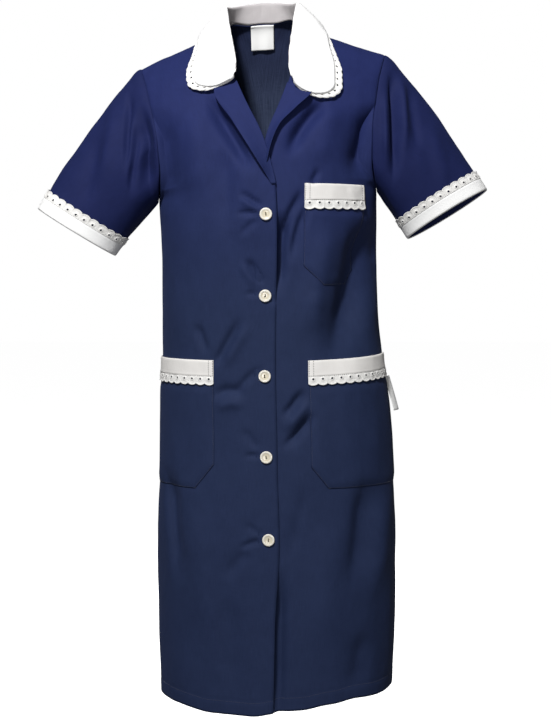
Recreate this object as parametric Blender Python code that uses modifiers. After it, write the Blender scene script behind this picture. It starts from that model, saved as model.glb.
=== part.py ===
"""Short-sleeved work smock with a white lace-edged collar, pocket bands and cuffs.

A button-through dress coat, filled out with no wearer, so its cloth stands as an open, hollow
form: neck, hem and both sleeve ends are open.  Metres, +Z up, the front faces -Y and +X is the
wearer's left.  The origin is in the middle between the shoulders at the foot of the collar,
where a wearer's shoulders would carry it.

The body is one smooth surface worked out from a table of sections (front hem, over the
shoulders, down to the back hem).  The panels are cut from it, and everything that lies on a
panel is made from the same surface, moved out.
"""
import math

import bpy
import numpy as np
from mathutils import Vector

# ------------------------------------------------------------------ driving dimensions
CLOTH = 0.0012            # wall of one layer of poplin, as built
TRIM = 0.0010             # wall of lace, bands' lace edges and labels
SEAM = 0.0003             # each piece is trimmed by this at a seam
LIE = 0.0008              # clearance under a piece that lies on a faceted panel

NECK_HALF = 0.068         # from the centre to the neck end of the shoulder seam
EDGE_RAISE = 0.0019       # how far the right front is raised where it overlaps the left
LAPEL_RAISE = 0.0046      # the same above the break, where a lapel lies between them
RAISE_FULL = 0.022        # the raise is whole this far past the centre, then it fades out
RAISE_END = 0.065
SEAM_AROUND = 0.001       # a panel ends this share of the quarter before the side seam
SHOULDER_SEAM_V = 0.014   # and this share of a section before the shoulder seam
SHOULDER_ROWS = (0.12, 0.30)  # extra rows beside the shoulder seam, in shares of a section
LEVEL_TRIM = 0.002        # where two solids of a panel meet, in shares of a section
LAPEL_ROLL = 0.0008       # a lapel starts this far from its front's edge
LAPEL_BULGE = 0.04        # how round the lapel lies, as a share of its width

COLLAR_FOLD_RADIUS = 0.0024
COLLAR_LACE = 0.013       # width of the eyelet lace round the collar
COLLAR_LACE_GAP = 0.0026  # measured along the leaf, which is slanted to the lace at the corners
COLLAR_BULGE = 0.05       # how round the leaf falls, as a share of its width
COLLAR_FOOT = 0.0022      # the stand's foot clears the neck seam by this
COLLAR_BACK_SHARE = 0.34  # share of half the neck seam that runs along the back
COLLAR_FRONT_V = 1.7      # the collar ends this many sections before the shoulder seam
COLLAR_ROWS = 18          # rows of facets in half of the collar
SLEEVE_HEAD = 0.70        # how far the sleeve keeps the direction in which it leaves the armhole
SLEEVE_FALL = 0.80        # how long it has hung straight where it ends
ARMHOLE_GAP = 0.0006      # along the sleeve
ARMHOLE_SIDE_GAP = 0.0010
CUFF_BAND = 0.022
CUFF_LACE = 0.013
POCKET_LACE = 0.013
POCKET_SEAM = 0.012       # a pocket ends this share of the quarter before the side seam
BUTTON_DIAMETER = 0.019
BUTTON_THICK = 0.0032
BUTTON_RIM = 0.0007
BUTTON_LEVELS = (-0.2925, -0.416, -0.539, -0.663, -0.790)
NECK_LABEL = (0.036, 0.038)
NECK_LABEL_TOP = 0.0130
NECK_LABEL_INSET = 0.0049
SIDE_LABEL = (0.024, 0.055)
SIDE_LABEL_TOP = -0.548
SIDE_LABEL_CLEAR = (0.0016, 0.0012)  # out from the seam, and to its back
SIDE_LABEL_TURN = (0.30, 0.95)       # the directions in which it leaves the seam, likewise

# ------------------------------------------------------------------ the body's sections
# One row for each section, from the front hem up to the shoulder seam and down the back.
# Each section runs from the centre line to the side seam, or to the armhole above the underarm.
# square is the roundness of its quarter: 2 is an ellipse, more is squarer.
# edge_x is where the panel is cut: the button edge, the roll line of the lapel, the neck seam.
BODY_COLUMNS = ("name", "centre_y", "centre_z", "side_x", "side_y", "side_z", "square", "edge_x")
BODY = (
    ("front hem", -0.135, -1.062, 0.1870, 0.000, -1.049, 2.30, -0.0125),
    ("front knee", -0.133, -0.935, 0.1915, 0.000, -0.930, 2.30, -0.0145),
    ("front thigh", -0.131, -0.820, 0.1925, 0.000, -0.820, 2.30, -0.0165),
    ("front hip", -0.128, -0.705, 0.1875, 0.000, -0.705, 2.30, -0.0165),
    ("front high hip", -0.125, -0.600, 0.1825, 0.000, -0.600, 2.30, -0.0165),
    ("front waist", -0.121, -0.500, 0.1745, 0.000, -0.500, 2.30, -0.0165),
    ("front ribs", -0.121, -0.400, 0.1710, 0.000, -0.400, 2.25, -0.0165),
    ("front bust", -0.125, -0.310, 0.1715, 0.000, -0.315, 2.20, -0.0165),
    ("front underarm", -0.122, -0.256, 0.1730, 0.000, -0.263, 2.15, -0.0150),
    ("front arm low", -0.117, -0.215, 0.1690, -0.036, -0.247, 1.95, -0.0075),
    ("front arm", -0.109, -0.170, 0.1655, -0.057, -0.215, 1.85, 0.0045),
    ("front chest", -0.097, -0.125, 0.1670, -0.062, -0.172, 1.80, 0.0230),
    ("front arm high", -0.083, -0.083, 0.1740, -0.050, -0.128, 1.80, 0.0400),
    ("front shoulder", -0.058, -0.036, 0.1830, -0.028, -0.084, 1.85, 0.0560),
    ("shoulder seam", 0.000, 0.0110, 0.1940, 0.000, -0.051, 2.00, NECK_HALF),
    ("back neck", 0.066, 0.0165, 0.1880, 0.022, -0.074, 2.00, 0.0),
    ("back shoulder", 0.088, -0.040, 0.1800, 0.047, -0.112, 2.05, 0.0),
    ("back arm high", 0.101, -0.095, 0.1720, 0.062, -0.155, 2.05, 0.0),
    ("back arm", 0.108, -0.155, 0.1680, 0.062, -0.205, 2.10, 0.0),
    ("back arm low", 0.110, -0.212, 0.1700, 0.040, -0.246, 2.15, 0.0),
    ("back underarm", 0.110, -0.258, 0.1730, 0.000, -0.263, 2.20, 0.0),
    ("back bust", 0.109, -0.310, 0.1715, 0.000, -0.315, 2.25, 0.0),
    ("back ribs", 0.106, -0.400, 0.1710, 0.000, -0.400, 2.25, 0.0),
    ("back waist", 0.107, -0.500, 0.1745, 0.000, -0.500, 2.25, 0.0),
    ("back high hip", 0.122, -0.600, 0.1825, 0.000, -0.600, 2.25, 0.0),
    ("back hip", 0.133, -0.705, 0.1875, 0.000, -0.705, 2.25, 0.0),
    ("back thigh", 0.137, -0.820, 0.1925, 0.000, -0.820, 2.25, 0.0),
    ("back knee", 0.138, -0.935, 0.1915, 0.000, -0.930, 2.25, 0.0),
    ("back hem", 0.138, -1.052, 0.1870, 0.000, -1.049, 2.25, 0.0),
)

# How the filled-out smock stands: at each level its section is shifted sideways, turned about
# the upright axis (degrees) and tilted (rise for each metre towards the wearer's left).
STANCE_COLUMNS = ("z", "sway", "turn", "tilt")
STANCE = (
    (-1.080, 0.0125, -7.5, 0.052),
    (-0.930, 0.0125, -7.5, 0.016),
    (-0.800, 0.0125, -5.5, 0.000),
    (-0.660, 0.0120, -7.0, 0.000),
    (-0.540, 0.0060, -5.5, 0.000),
    (-0.430, 0.0010, -3.0, 0.000),
    (-0.360, 0.0000, -2.0, 0.020),
    (-0.270, -0.0020, -1.0, 0.049),
    (-0.150, -0.0070, 0.0, 0.057),
    (-0.050, -0.0100, 0.0, 0.057),
    (0.060, -0.0120, 0.0, 0.057),
)

# The collar from the centre back to its front end, each side: the fold at the top of the stand
# and the outer edge of the lace, in the level frame before the stance.
COLLAR_COLUMNS = ("name", "fold_x", "fold_y", "fold_z", "edge_x", "edge_z", "face", "lift")
COLLAR_BACK = (
    ("centre back", 0.000, 0.0665, 0.0455, 0.000, -0.045, "back", 0.0035),
    ("back", 0.028, 0.0590, 0.0445, 0.047, -0.046, "back", 0.0045),
    ("back shoulder", 0.047, 0.0370, 0.0425, 0.086, -0.040, "back", 0.0065),
    ("shoulder", 0.056, 0.0060, 0.0390, 0.104, -0.0215, "front", 0.0048),
)
COLLAR_RIGHT = COLLAR_BACK + (
    ("collarbone", 0.052, -0.0290, 0.0100, 0.109, -0.042, "front", 0.0050),
    ("chest", 0.046, -0.0620, -0.0260, 0.117, -0.070, "front", 0.0066),
    ("outer corner", 0.0420, -0.0820, -0.0500, 0.1145, -0.089, "front", 0.0068),
    ("corner", 0.0410, -0.0870, -0.0590, 0.101, -0.0985, "front", 0.0068),
    ("bottom", 0.0410, -0.0900, -0.0660, 0.077, -0.1000, "front", 0.0068),
    ("inner bottom", 0.0420, -0.0930, -0.0715, 0.056, -0.0935, "front", 0.0068),
    ("end", 0.0430, -0.0950, -0.0745, 0.0435, -0.0865, "front", 0.0068),
)
COLLAR_LEFT = COLLAR_BACK + (
    ("collarbone", 0.051, -0.0290, 0.0100, 0.113, -0.049, "front", 0.0050),
    ("chest", 0.044, -0.0640, -0.0300, 0.121, -0.083, "front", 0.0066),
    ("outer corner", 0.0415, -0.0860, -0.0580, 0.120, -0.107, "front", 0.0068),
    ("corner", 0.0415, -0.0920, -0.0680, 0.107, -0.1205, "front", 0.0068),
    ("bottom", 0.0425, -0.0955, -0.0765, 0.080, -0.1210, "front", 0.0068),
    ("inner bottom", 0.0440, -0.0985, -0.0835, 0.060, -0.1120, "front", 0.0068),
    ("end", 0.0460, -0.1005, -0.0875, 0.0465, -0.1005, "front", 0.0068),
)

# Lapels: at each level the distance of the free edge from the centre line, on its own side.
LAPEL_COLUMNS = ("z", "free_x")
LAPEL_RIGHT = ((-0.248, -0.0085), (-0.200, 0.0180), (-0.150, 0.0470), (-0.104, 0.0730), (-0.086, 0.0740))
LAPEL_LEFT = ((-0.235, -0.0020), (-0.192, 0.0075), (-0.161, 0.0210), (-0.135, 0.0480), (-0.112, 0.0720),
              (-0.094, 0.0740))

# Pockets and their bands, from the top down: the inner and the outer end of each level, on the
# pocket's own side.
POCKET_COLUMNS = ("inner_x", "inner_z", "outer_x", "outer_z")
SEAM_X = 1.0              # an outer_x past the side means: as far as the side seam
CHEST_BAND = ((0.0585, -0.2485, 0.1510, -0.2545), (0.0585, -0.2745, 0.1505, -0.2790))
CHEST_POCKET = ((0.0595, -0.2755, 0.1500, -0.2800), (0.0560, -0.3710, 0.1495, -0.3800),
                (0.0870, -0.4010, 0.1370, -0.4010))
HIP_BAND_LEFT = ((0.0655, -0.5150, SEAM_X, -0.5085), (0.0655, -0.5405, SEAM_X, -0.5330))
HIP_POCKET_LEFT = ((0.0665, -0.5415, SEAM_X, -0.5340), (0.0675, -0.6780, SEAM_X, -0.6780),
                   (0.0935, -0.7120, SEAM_X, -0.7120))
HIP_BAND_RIGHT = ((0.0795, -0.5155, SEAM_X, -0.5155), (0.0795, -0.5415, SEAM_X, -0.5415))
HIP_POCKET_RIGHT = ((0.0795, -0.5425, SEAM_X, -0.5425), (0.0825, -0.6770, SEAM_X, -0.6770),
                    (0.1150, -0.7160, SEAM_X, -0.7160))

# Sleeves: centre of the open end, half its width, half its depth, how far the opening looks to
# the front (degrees), and the outer and underarm directions in which it leaves the armhole.
SLEEVE_COLUMNS = ("side", "end_x", "end_y", "end_z", "half_width", "half_depth", "lean", "look")
SLEEVE_RIGHT = (-1, -0.3065, -0.004, -0.3185, 0.0705, 0.042, 31.5, 0.0)
SLEEVE_LEFT = (1, 0.2840, -0.004, -0.2905, 0.0715, 0.042, 31.5, 9.0)

# ------------------------------------------------------------------ resolution of the facets
PANEL_ACROSS = 10
BACK_ACROSS = 8
PANEL_STEPS = 2           # strips in each section of the table
SLEEVE_AROUND = 18
SLEEVE_ALONG = 7
LAPEL_GRID = (4, 8)       # across and along
CHEST_POCKET_GRID = (6, 2)
HIP_POCKET_GRID = (8, 4)
BUTTON_SIDES = 16

COLORS = {
    "navy": ((0.020, 0.028, 0.095), 0.78),
    "white": ((0.86, 0.86, 0.85), 0.80),
    "lace": ((0.88, 0.88, 0.87), 0.85),
    "button": ((0.80, 0.77, 0.68), 0.35),
    "label": ((0.85, 0.85, 0.84), 0.60),
}

# Each panel is made as four solids one above the other, which keeps each of them simple.
PANEL_LEVELS = ("hem", "skirt", "waist", "chest")
FRONT_MEETS = ("front thigh", "front high hip", "front underarm")
BACK_MEETS = ("back underarm", "back high hip", "back thigh")

SECTIONS = [row[0] for row in BODY]
V_FRONT_BUST = SECTIONS.index("front bust")
V_FRONT_UNDERARM = SECTIONS.index("front underarm")
V_SHOULDER = SECTIONS.index("shoulder seam")
V_NECK = SECTIONS.index("back neck")
V_BACK_UNDERARM = SECTIONS.index("back underarm")
V_END = len(BODY) - 1


# ------------------------------------------------------------------ reading the tables
def flow(at, values, x):
    """A smooth line through the values at the given places, without overshoot, read at x."""
    at = np.asarray(at, float)
    values = np.asarray(values, float)
    step = np.diff(at)
    slope = np.diff(values) / step
    tangent = np.empty_like(values)
    tangent[0] = slope[0]
    tangent[-1] = slope[-1]
    product = slope[:-1] * slope[1:]
    total = np.where(product > 0, slope[:-1] + slope[1:], 1.0)
    tangent[1:-1] = np.where(product > 0, 2.0 * product / total, 0.0)
    x = np.clip(np.asarray(x, float), at[0], at[-1])
    i = np.clip(np.searchsorted(at, x, side="right") - 1, 0, len(at) - 2)
    s = (x - at[i]) / step[i]
    rise = step[i] * (tangent[i] * s * (1 - s) ** 2 - tangent[i + 1] * s ** 2 * (1 - s))
    return values[i] * (1 + 2 * s) * (1 - s) ** 2 + values[i + 1] * s ** 2 * (3 - 2 * s) + rise


def column(rows, columns, name):
    """One named column of a table."""
    return [row[columns.index(name)] for row in rows]


def body_column(name, v):
    return flow(range(len(BODY)), column(BODY, BODY_COLUMNS, name), v)


def smooth(value):
    """0 to 1 with soft ends."""
    value = np.clip(value, 0.0, 1.0)
    return value * value * (3.0 - 2.0 * value)


# ------------------------------------------------------------------ the body's surface
def level_point(around, v):
    """A point of the level body: around is 0 on the centre line and 1 at the wearer's left."""
    around, v = np.broadcast_arrays(np.asarray(around, float), np.asarray(v, float))
    angle = np.clip(np.abs(around), 0.0, 1.0) * math.pi / 2
    power = 2.0 / body_column("square", v)
    across = np.sin(angle) ** power
    deep = np.maximum(np.cos(angle), 0.0) ** power
    side_y = body_column("side_y", v)
    centre_z = body_column("centre_z", v)
    soften = 0.2  # keeps the section level where it crosses the centre line
    fall = (np.hypot(across, soften) - soften) / (math.hypot(1.0, soften) - soften)
    x = np.sign(around) * body_column("side_x", v) * across
    y = side_y + (body_column("centre_y", v) - side_y) * deep
    z = centre_z + (body_column("side_z", v) - centre_z) * fall
    return np.stack([x, y, z], axis=-1)


def stand(points):
    """The level body's points as the filled-out smock stands: swayed, turned and tilted."""
    points = np.asarray(points, float)
    x, y, z = points[..., 0], points[..., 1], points[..., 2]
    levels = column(STANCE, STANCE_COLUMNS, "z")
    sway = flow(levels, column(STANCE, STANCE_COLUMNS, "sway"), z)
    turn = np.radians(flow(levels, column(STANCE, STANCE_COLUMNS, "turn"), z))
    tilt = flow(levels, column(STANCE, STANCE_COLUMNS, "tilt"), z)
    return np.stack([x * np.cos(turn) - y * np.sin(turn) + sway,
                     x * np.sin(turn) + y * np.cos(turn),
                     z + tilt * x], axis=-1)


def body_point(around, v):
    return stand(level_point(around, v))


def unit(vectors):
    length = np.linalg.norm(vectors, axis=-1, keepdims=True)
    return vectors / np.maximum(length, 1e-12)


def body_normal(around, v, surface=body_point):
    """The outward direction of the body's surface, or of the level one."""
    step_a, step_v = 0.02, 0.05
    around, v = np.broadcast_arrays(np.asarray(around, float), np.asarray(v, float))
    along = surface(np.clip(around + step_a, -1, 1), v) - surface(np.clip(around - step_a, -1, 1), v)
    up = surface(around, np.clip(v + step_v, 0, V_END)) - surface(around, np.clip(v - step_v, 0, V_END))
    return unit(np.cross(along, up))


def around_at(x, v):
    """The around value of a point whose level x is given."""
    ratio = np.clip(np.abs(x) / body_column("side_x", v), 0.0, 1.0)
    return np.sign(x) * np.arcsin(ratio ** (body_column("square", v) / 2)) * 2 / math.pi


def find(x, z, face="front", as_around=False):
    """(around, v) of the point of the front or back with the given level x and z.

    With as_around, x holds around values instead of distances from the centre.
    """
    x, z = np.broadcast_arrays(np.asarray(x, float), np.asarray(z, float))
    low = np.full(x.shape, 0.0 if face == "front" else float(V_END))
    high = np.full(x.shape, float(V_SHOULDER))
    for _ in range(30):
        middle = (low + high) / 2
        around = x if as_around else around_at(x, middle)
        below = level_point(around, middle)[..., 2] < z
        low = np.where(below, middle, low)
        high = np.where(below, high, middle)
    v = (low + high) / 2
    return (x if as_around else around_at(x, v)), v


def raise_right(x, v):
    """How far the right front stands off where it overlaps the left one; x on its own side."""
    most = EDGE_RAISE + (LAPEL_RAISE - EDGE_RAISE) * smooth(v - (V_FRONT_BUST - 0.5))
    fade = 1.0 - smooth((x - RAISE_FULL) / (RAISE_END - RAISE_FULL))
    below_shoulder = 1.0 - smooth((v - (V_SHOULDER - 2.0)) / 1.5)
    return most * fade * below_shoulder


def front_point(side, around, v, lift=0.0):
    """A point of a front panel's outer face (side 1 is the wearer's left), moved out by lift.

    around is on the panel's own side, and below 0 past the centre line.
    """
    around, v = np.broadcast_arrays(np.asarray(around, float), np.asarray(v, float))
    x = level_point(around, v)[..., 0]
    extra = raise_right(x, v) if side < 0 else np.zeros(v.shape)
    return body_point(side * around, v) + body_normal(side * around, v) * (extra + lift)[..., None]


# ------------------------------------------------------------------ making solids
def material(kind):
    name = "smock_" + kind
    found = bpy.data.materials.get(name)
    if found:
        return found
    made = bpy.data.materials.new(name)
    made.use_nodes = True
    color, roughness = COLORS[kind]
    shader = made.node_tree.nodes["Principled BSDF"]
    shader.inputs["Base Color"].default_value = (*color, 1.0)
    shader.inputs["Roughness"].default_value = roughness
    shader.inputs["Metallic"].default_value = 0.0
    made.diffuse_color = (*color, 1.0)
    return made


def add_object(name, mesh, kind):
    piece = bpy.data.objects.new(name, mesh)
    bpy.data.collections["work_smock"].objects.link(piece)
    mesh.materials.append(material(kind))
    mesh.shade_smooth()
    return piece


def sheet(name, grids, kind, wall, closed=False):
    """A cloth wall: an open surface through grids of points, solidified inwards.

    Each grid is rows x columns x 3.  Several grids are joined where their points meet, and a
    closed one joins its last column to its first.
    """
    points = []
    faces = []
    index = {}

    def number(point):
        key = tuple(np.round(point, 7))
        if key not in index:
            index[key] = len(points)
            points.append(key)
        return index[key]

    for grid in grids:
        rows, columns = grid.shape[:2]
        for i in range(rows - 1):
            for j in range(columns if closed else columns - 1):
                k = (j + 1) % columns
                corners = [number(point) for point in (grid[i, j], grid[i, k], grid[i + 1, k], grid[i + 1, j])]
                faces.append(corners)
    mesh = bpy.data.meshes.new(name)
    mesh.from_pydata(points, [], faces)
    mesh.update()
    piece = add_object(name, mesh, kind)
    solid = piece.modifiers.new("wall", "SOLIDIFY")
    solid.thickness = wall
    solid.offset = -1.0
    solid.use_even_offset = False
    return piece


# ------------------------------------------------------------------ panels
def panel_row(first, count):
    """Places around, from a panel's first edge to its side seam or armhole."""
    return np.linspace(first, 1.0 - SEAM_AROUND, count + 1)


def split_levels(levels, meets):
    """The rows of each solid of a panel, which are trimmed where they meet."""
    ends = [levels[0]] + [SECTIONS.index(name) for name in meets] + [levels[-1]]
    out = []
    for number, (low, high) in enumerate(zip(ends[:-1], ends[1:])):
        low += LEVEL_TRIM if number > 0 else 0
        high -= LEVEL_TRIM if number < len(meets) else 0
        out.append([low] + [v for v in levels if low + 0.01 < v < high - 0.01] + [high])
    return out


def make_front(name, side):
    near, far = SHOULDER_ROWS
    levels = [step / PANEL_STEPS for step in range((V_SHOULDER - 1) * PANEL_STEPS + 2)]
    levels += [V_SHOULDER - far, V_SHOULDER - near, V_SHOULDER - SHOULDER_SEAM_V]
    for level, part in zip(PANEL_LEVELS, split_levels(levels, FRONT_MEETS)):
        rows = []
        for v in part:
            first = around_at(body_column("edge_x", v), v)
            rows.append(front_point(side, panel_row(first, PANEL_ACROSS), v))
        grid = np.array(rows)
        if side < 0:
            grid = grid[:, ::-1]
        sheet(name + "_" + level, [grid], "navy", CLOTH)


def back_edge(v):
    """Where a half of the back starts: on the centre line, or at the neck seam above it."""
    share = np.clip(v - V_SHOULDER, 0.0, 1.0)
    return NECK_HALF * math.sqrt(max(0.0, 1.0 - share ** 2)) if share < 1.0 else 0.0


def make_back():
    levels = [V_SHOULDER + SHOULDER_SEAM_V, V_SHOULDER + SHOULDER_ROWS[0]]
    levels += [V_SHOULDER + math.sin(k * math.pi / 10) for k in range(1, 5)]
    levels += [step / PANEL_STEPS for step in range(V_NECK * PANEL_STEPS, V_END * PANEL_STEPS + 1)]
    for level, part in zip(PANEL_LEVELS[::-1], split_levels(levels, BACK_MEETS)):
        grids = []
        for side in (-1, 1):
            rows = []
            for v in part:
                first = around_at(back_edge(v), v)
                rows.append(body_point(side * panel_row(first, BACK_ACROSS), v))
            grid = np.array(rows)
            grids.append(grid[:, ::-1] if side < 0 else grid)
        sheet("back_" + level, grids, "navy", CLOTH)


# ------------------------------------------------------------------ lapels
def lapel_grid(side, rows, across, steps):
    """A lapel from the roll line out to its free edge, lying on its own front."""
    levels = column(rows, LAPEL_COLUMNS, "z")
    grid = []
    for z in np.linspace(levels[0], levels[-1], steps + 1):
        free = float(flow(levels, column(rows, LAPEL_COLUMNS, "free_x"), z))
        _, v = find(max(free, 0.0) / 2, z)
        roll = float(body_column("edge_x", v)) + LAPEL_ROLL
        share = np.linspace(0.0, 1.0, across + 1)
        around, v = find(roll + (free - roll) * share, z)
        lift = LIE + CLOTH + LAPEL_BULGE * (free - roll) * np.sin(math.pi * share)
        grid.append(front_point(side, around, v, lift))
    return np.array(grid)


def make_lapel(name, side, rows):
    grid = lapel_grid(side, rows, *LAPEL_GRID)
    if side < 0:
        grid = grid[:, ::-1]
    return sheet(name, [grid], "navy", CLOTH)


# ------------------------------------------------------------------ collar
def neck_seam(s):
    """The foot of the collar, from the centre back (0) to the front end (1), level frame."""
    if s <= COLLAR_BACK_SHARE:
        v = V_SHOULDER + math.cos(s / COLLAR_BACK_SHARE * math.pi / 2)
        around = float(around_at(back_edge(v), v))
    else:
        v = V_SHOULDER - COLLAR_FRONT_V * (s - COLLAR_BACK_SHARE) / (1.0 - COLLAR_BACK_SHARE)
        around = float(around_at(body_column("edge_x", v), v))
    return level_point(around, v)


def collar_row(rows, s, shares):
    """The collar across at s: from the outer edge over the fold and down the stand to its foot.

    Level frame, +X side.  shares are the places along the leaf, 1 at the lace's outer edge.
    """
    at = np.linspace(0.0, 1.0, len(rows))
    read = {name: column(rows, COLLAR_COLUMNS, name) for name in COLLAR_COLUMNS}
    fold = np.array([float(flow(at, read["fold_" + axis], s)) for axis in "xyz"])
    edge_v = [float(find(x, z, face)[1]) for x, z, face in zip(read["edge_x"], read["edge_z"], read["face"])]
    v = flow(at, edge_v, s)
    around = around_at(flow(at, read["edge_x"], s), v)
    edge = level_point(around, v) + body_normal(around, v, level_point) * flow(at, read["lift"], s)
    seam = neck_seam(s)
    leaf = unit(edge - fold)
    stand_down = unit(seam - fold)
    out_leaf = -unit(stand_down - leaf * np.dot(stand_down, leaf))
    out_stand = -unit(leaf - stand_down * np.dot(stand_down, leaf))
    middle = fold + unit(leaf + stand_down) * COLLAR_FOLD_RADIUS
    leaf_start = middle + out_leaf * COLLAR_FOLD_RADIUS
    stand_start = middle + out_stand * COLLAR_FOLD_RADIUS
    length = np.linalg.norm(edge - leaf_start)
    points = []
    for share in shares(length):
        points.append(leaf_start + (edge - leaf_start) * share
                      + out_leaf * COLLAR_BULGE * length * math.sin(math.pi * share))
    return points, middle, stand_start, seam


def lace_share(length):
    """Where along the leaf the lace starts."""
    return max(0.45, 1.0 - COLLAR_LACE / length)


def collar_places(rows):
    """Places along half of the collar, evenly spaced along its outer edge."""
    fine = np.linspace(0.0, 1.0, 81)
    edge = np.array([collar_row(rows, s, lambda length: [1.0])[0][0] for s in fine])
    length = np.concatenate([[0.0], np.cumsum(np.linalg.norm(np.diff(edge, axis=0), axis=1))])
    return np.interp(np.linspace(0.0, length[-1], COLLAR_ROWS + 1), length, fine)


def collar_grids():
    """The collar's leaf with its stand, and the lace past its edge, from the right end round."""
    leaf, lace = [], []
    for side, rows in ((-1, COLLAR_RIGHT), (1, COLLAR_LEFT)):
        places = collar_places(rows)
        for s in places[::-1] if side < 0 else places[1:]:
            mirror = np.array([side, 1.0, 1.0])
            points, middle, stand_start, seam = collar_row(
                rows, s, lambda length: [lace_share(length) * k for k in (1.0, 0.67, 0.33, 0.0)])
            top = middle + unit(middle - (points[-1] + stand_start + seam) / 3) * COLLAR_FOLD_RADIUS
            foot = seam + unit(stand_start - seam) * COLLAR_FOOT
            points = points + [top, stand_start, (stand_start + foot) / 2, foot]
            leaf.append(stand(np.array(points) * mirror))
            edge = collar_row(rows, s, lambda length: [1.0, lace_share(length) + COLLAR_LACE_GAP / length])[0]
            lace.append(stand(np.array(edge) * mirror))
    return np.array(leaf), np.array(lace)


def make_collar():
    leaf, lace = collar_grids()
    sheet("collar", [leaf.transpose(1, 0, 2)[::-1]], "white", CLOTH)
    sheet("collar_lace", [lace.transpose(1, 0, 2)[::-1]], "lace", TRIM)


# ------------------------------------------------------------------ pockets
def pocket_grid(side, rows, across, steps, lift):
    """A piece that lies on a front: between its inner and outer edge, from its foot up."""
    levels = []
    for upper, lower in zip(rows[:-1], rows[1:]):
        levels += [[u + (w - u) * k / steps for u, w in zip(upper, lower)] for k in range(steps)]
    levels.append(rows[-1])
    out = []
    for inner_x, inner_z, outer_x, outer_z in levels[::-1]:
        first, _ = find(inner_x, inner_z)
        last = 1.0 - POCKET_SEAM if outer_x >= SEAM_X else find(outer_x, outer_z)[0]
        share = np.linspace(0.0, 1.0, across + 1)
        around, v = find(first + (last - first) * share, inner_z + (outer_z - inner_z) * share, as_around=True)
        out.append(front_point(side, around, v, lift))
    grid = np.array(out)
    return grid[:, ::-1] if side < 0 else grid


def lace_rows(band, drop):
    """The lace below a band: from the band's lower edge down by drop."""
    inner_x, inner_z, outer_x, outer_z = band[-1]
    return ((inner_x, inner_z - 2 * SEAM, outer_x, outer_z - 2 * SEAM),
            (inner_x, inner_z - drop, outer_x, outer_z - drop))


def make_pocket(name, side, rows, band, grid):
    across, steps = grid
    sheet(name, [pocket_grid(side, rows, across, steps, LIE + CLOTH)], "navy", CLOTH)
    sheet(name.replace("pocket", "band"), [pocket_grid(side, band, across, 1, LIE + CLOTH)], "white", CLOTH)
    over = LIE + CLOTH + LIE + TRIM
    sheet(name.replace("pocket", "lace"), [pocket_grid(side, lace_rows(band, POCKET_LACE), across, 1, over)],
          "lace", TRIM)


# ------------------------------------------------------------------ buttons and labels
def make_button(name, level):
    """A flat round button on the right front, on the centre line."""
    v = find(0.0, level)[1]
    out = Vector(body_normal(0.0, v))
    place = Vector(front_point(-1, 0.0, v, SEAM)) + out * BUTTON_THICK / 2
    bpy.ops.mesh.primitive_cylinder_add(vertices=BUTTON_SIDES, radius=BUTTON_DIAMETER / 2, depth=BUTTON_THICK)
    button = bpy.context.object
    button.name = name
    button.location = place
    button.rotation_euler = out.to_track_quat("Z", "Y").to_euler()
    for owner in list(button.users_collection):
        owner.objects.unlink(button)
    bpy.data.collections["work_smock"].objects.link(button)
    button.data.materials.append(material("button"))
    rim = button.modifiers.new("rim", "BEVEL")
    rim.width = BUTTON_RIM
    rim.segments = 1
    rim.limit_method = "ANGLE"
    return button


def make_neck_label():
    """A bare label that hangs from the neck seam inside the back."""
    width, height = NECK_LABEL
    grid = []
    for z in np.linspace(NECK_LABEL_TOP - height, NECK_LABEL_TOP, 3):
        around, v = find(np.linspace(width / 2, -width / 2, 4), z, "back")
        grid.append(body_point(around, v) - body_normal(around, v) * NECK_LABEL_INSET)
    return sheet("neck_label", [np.array(grid)], "label", TRIM)


def make_side_label():
    """A care label of a few leaves, caught in the wearer's left side seam and turned back."""
    width, height = SIDE_LABEL
    clear_out, clear_back = SIDE_LABEL_CLEAR
    turn_out, turn_back = SIDE_LABEL_TURN
    beside = 0.04  # a step around, to find which way the seam's back is
    grid = []
    for share in (0.0, 0.5, 1.0):
        around, v = find(1.0, SIDE_LABEL_TOP - height * (1.0 - share), as_around=True)
        out = body_normal(around, v)
        back = body_point(around, v) - body_point(around - beside, v)
        back = unit(back - out * np.dot(back, out))
        grid.append([body_point(around, v) + out * (clear_out + turn_out * width * k)
                     + back * (clear_back + turn_back * width * k) for k in (0.0, 0.5, 1.0)])
    return sheet("side_label", [np.array(grid)], "label", TRIM)


# ------------------------------------------------------------------ sleeves
def armhole(share):
    """The v of a place round the armhole: 0 at the shoulder, then the front, 0.5 at the underarm."""
    if share <= 0.5:
        return V_SHOULDER + (V_FRONT_UNDERARM - V_SHOULDER) * share * 2
    return V_BACK_UNDERARM + (V_SHOULDER - V_BACK_UNDERARM) * (share - 0.5) * 2


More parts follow.
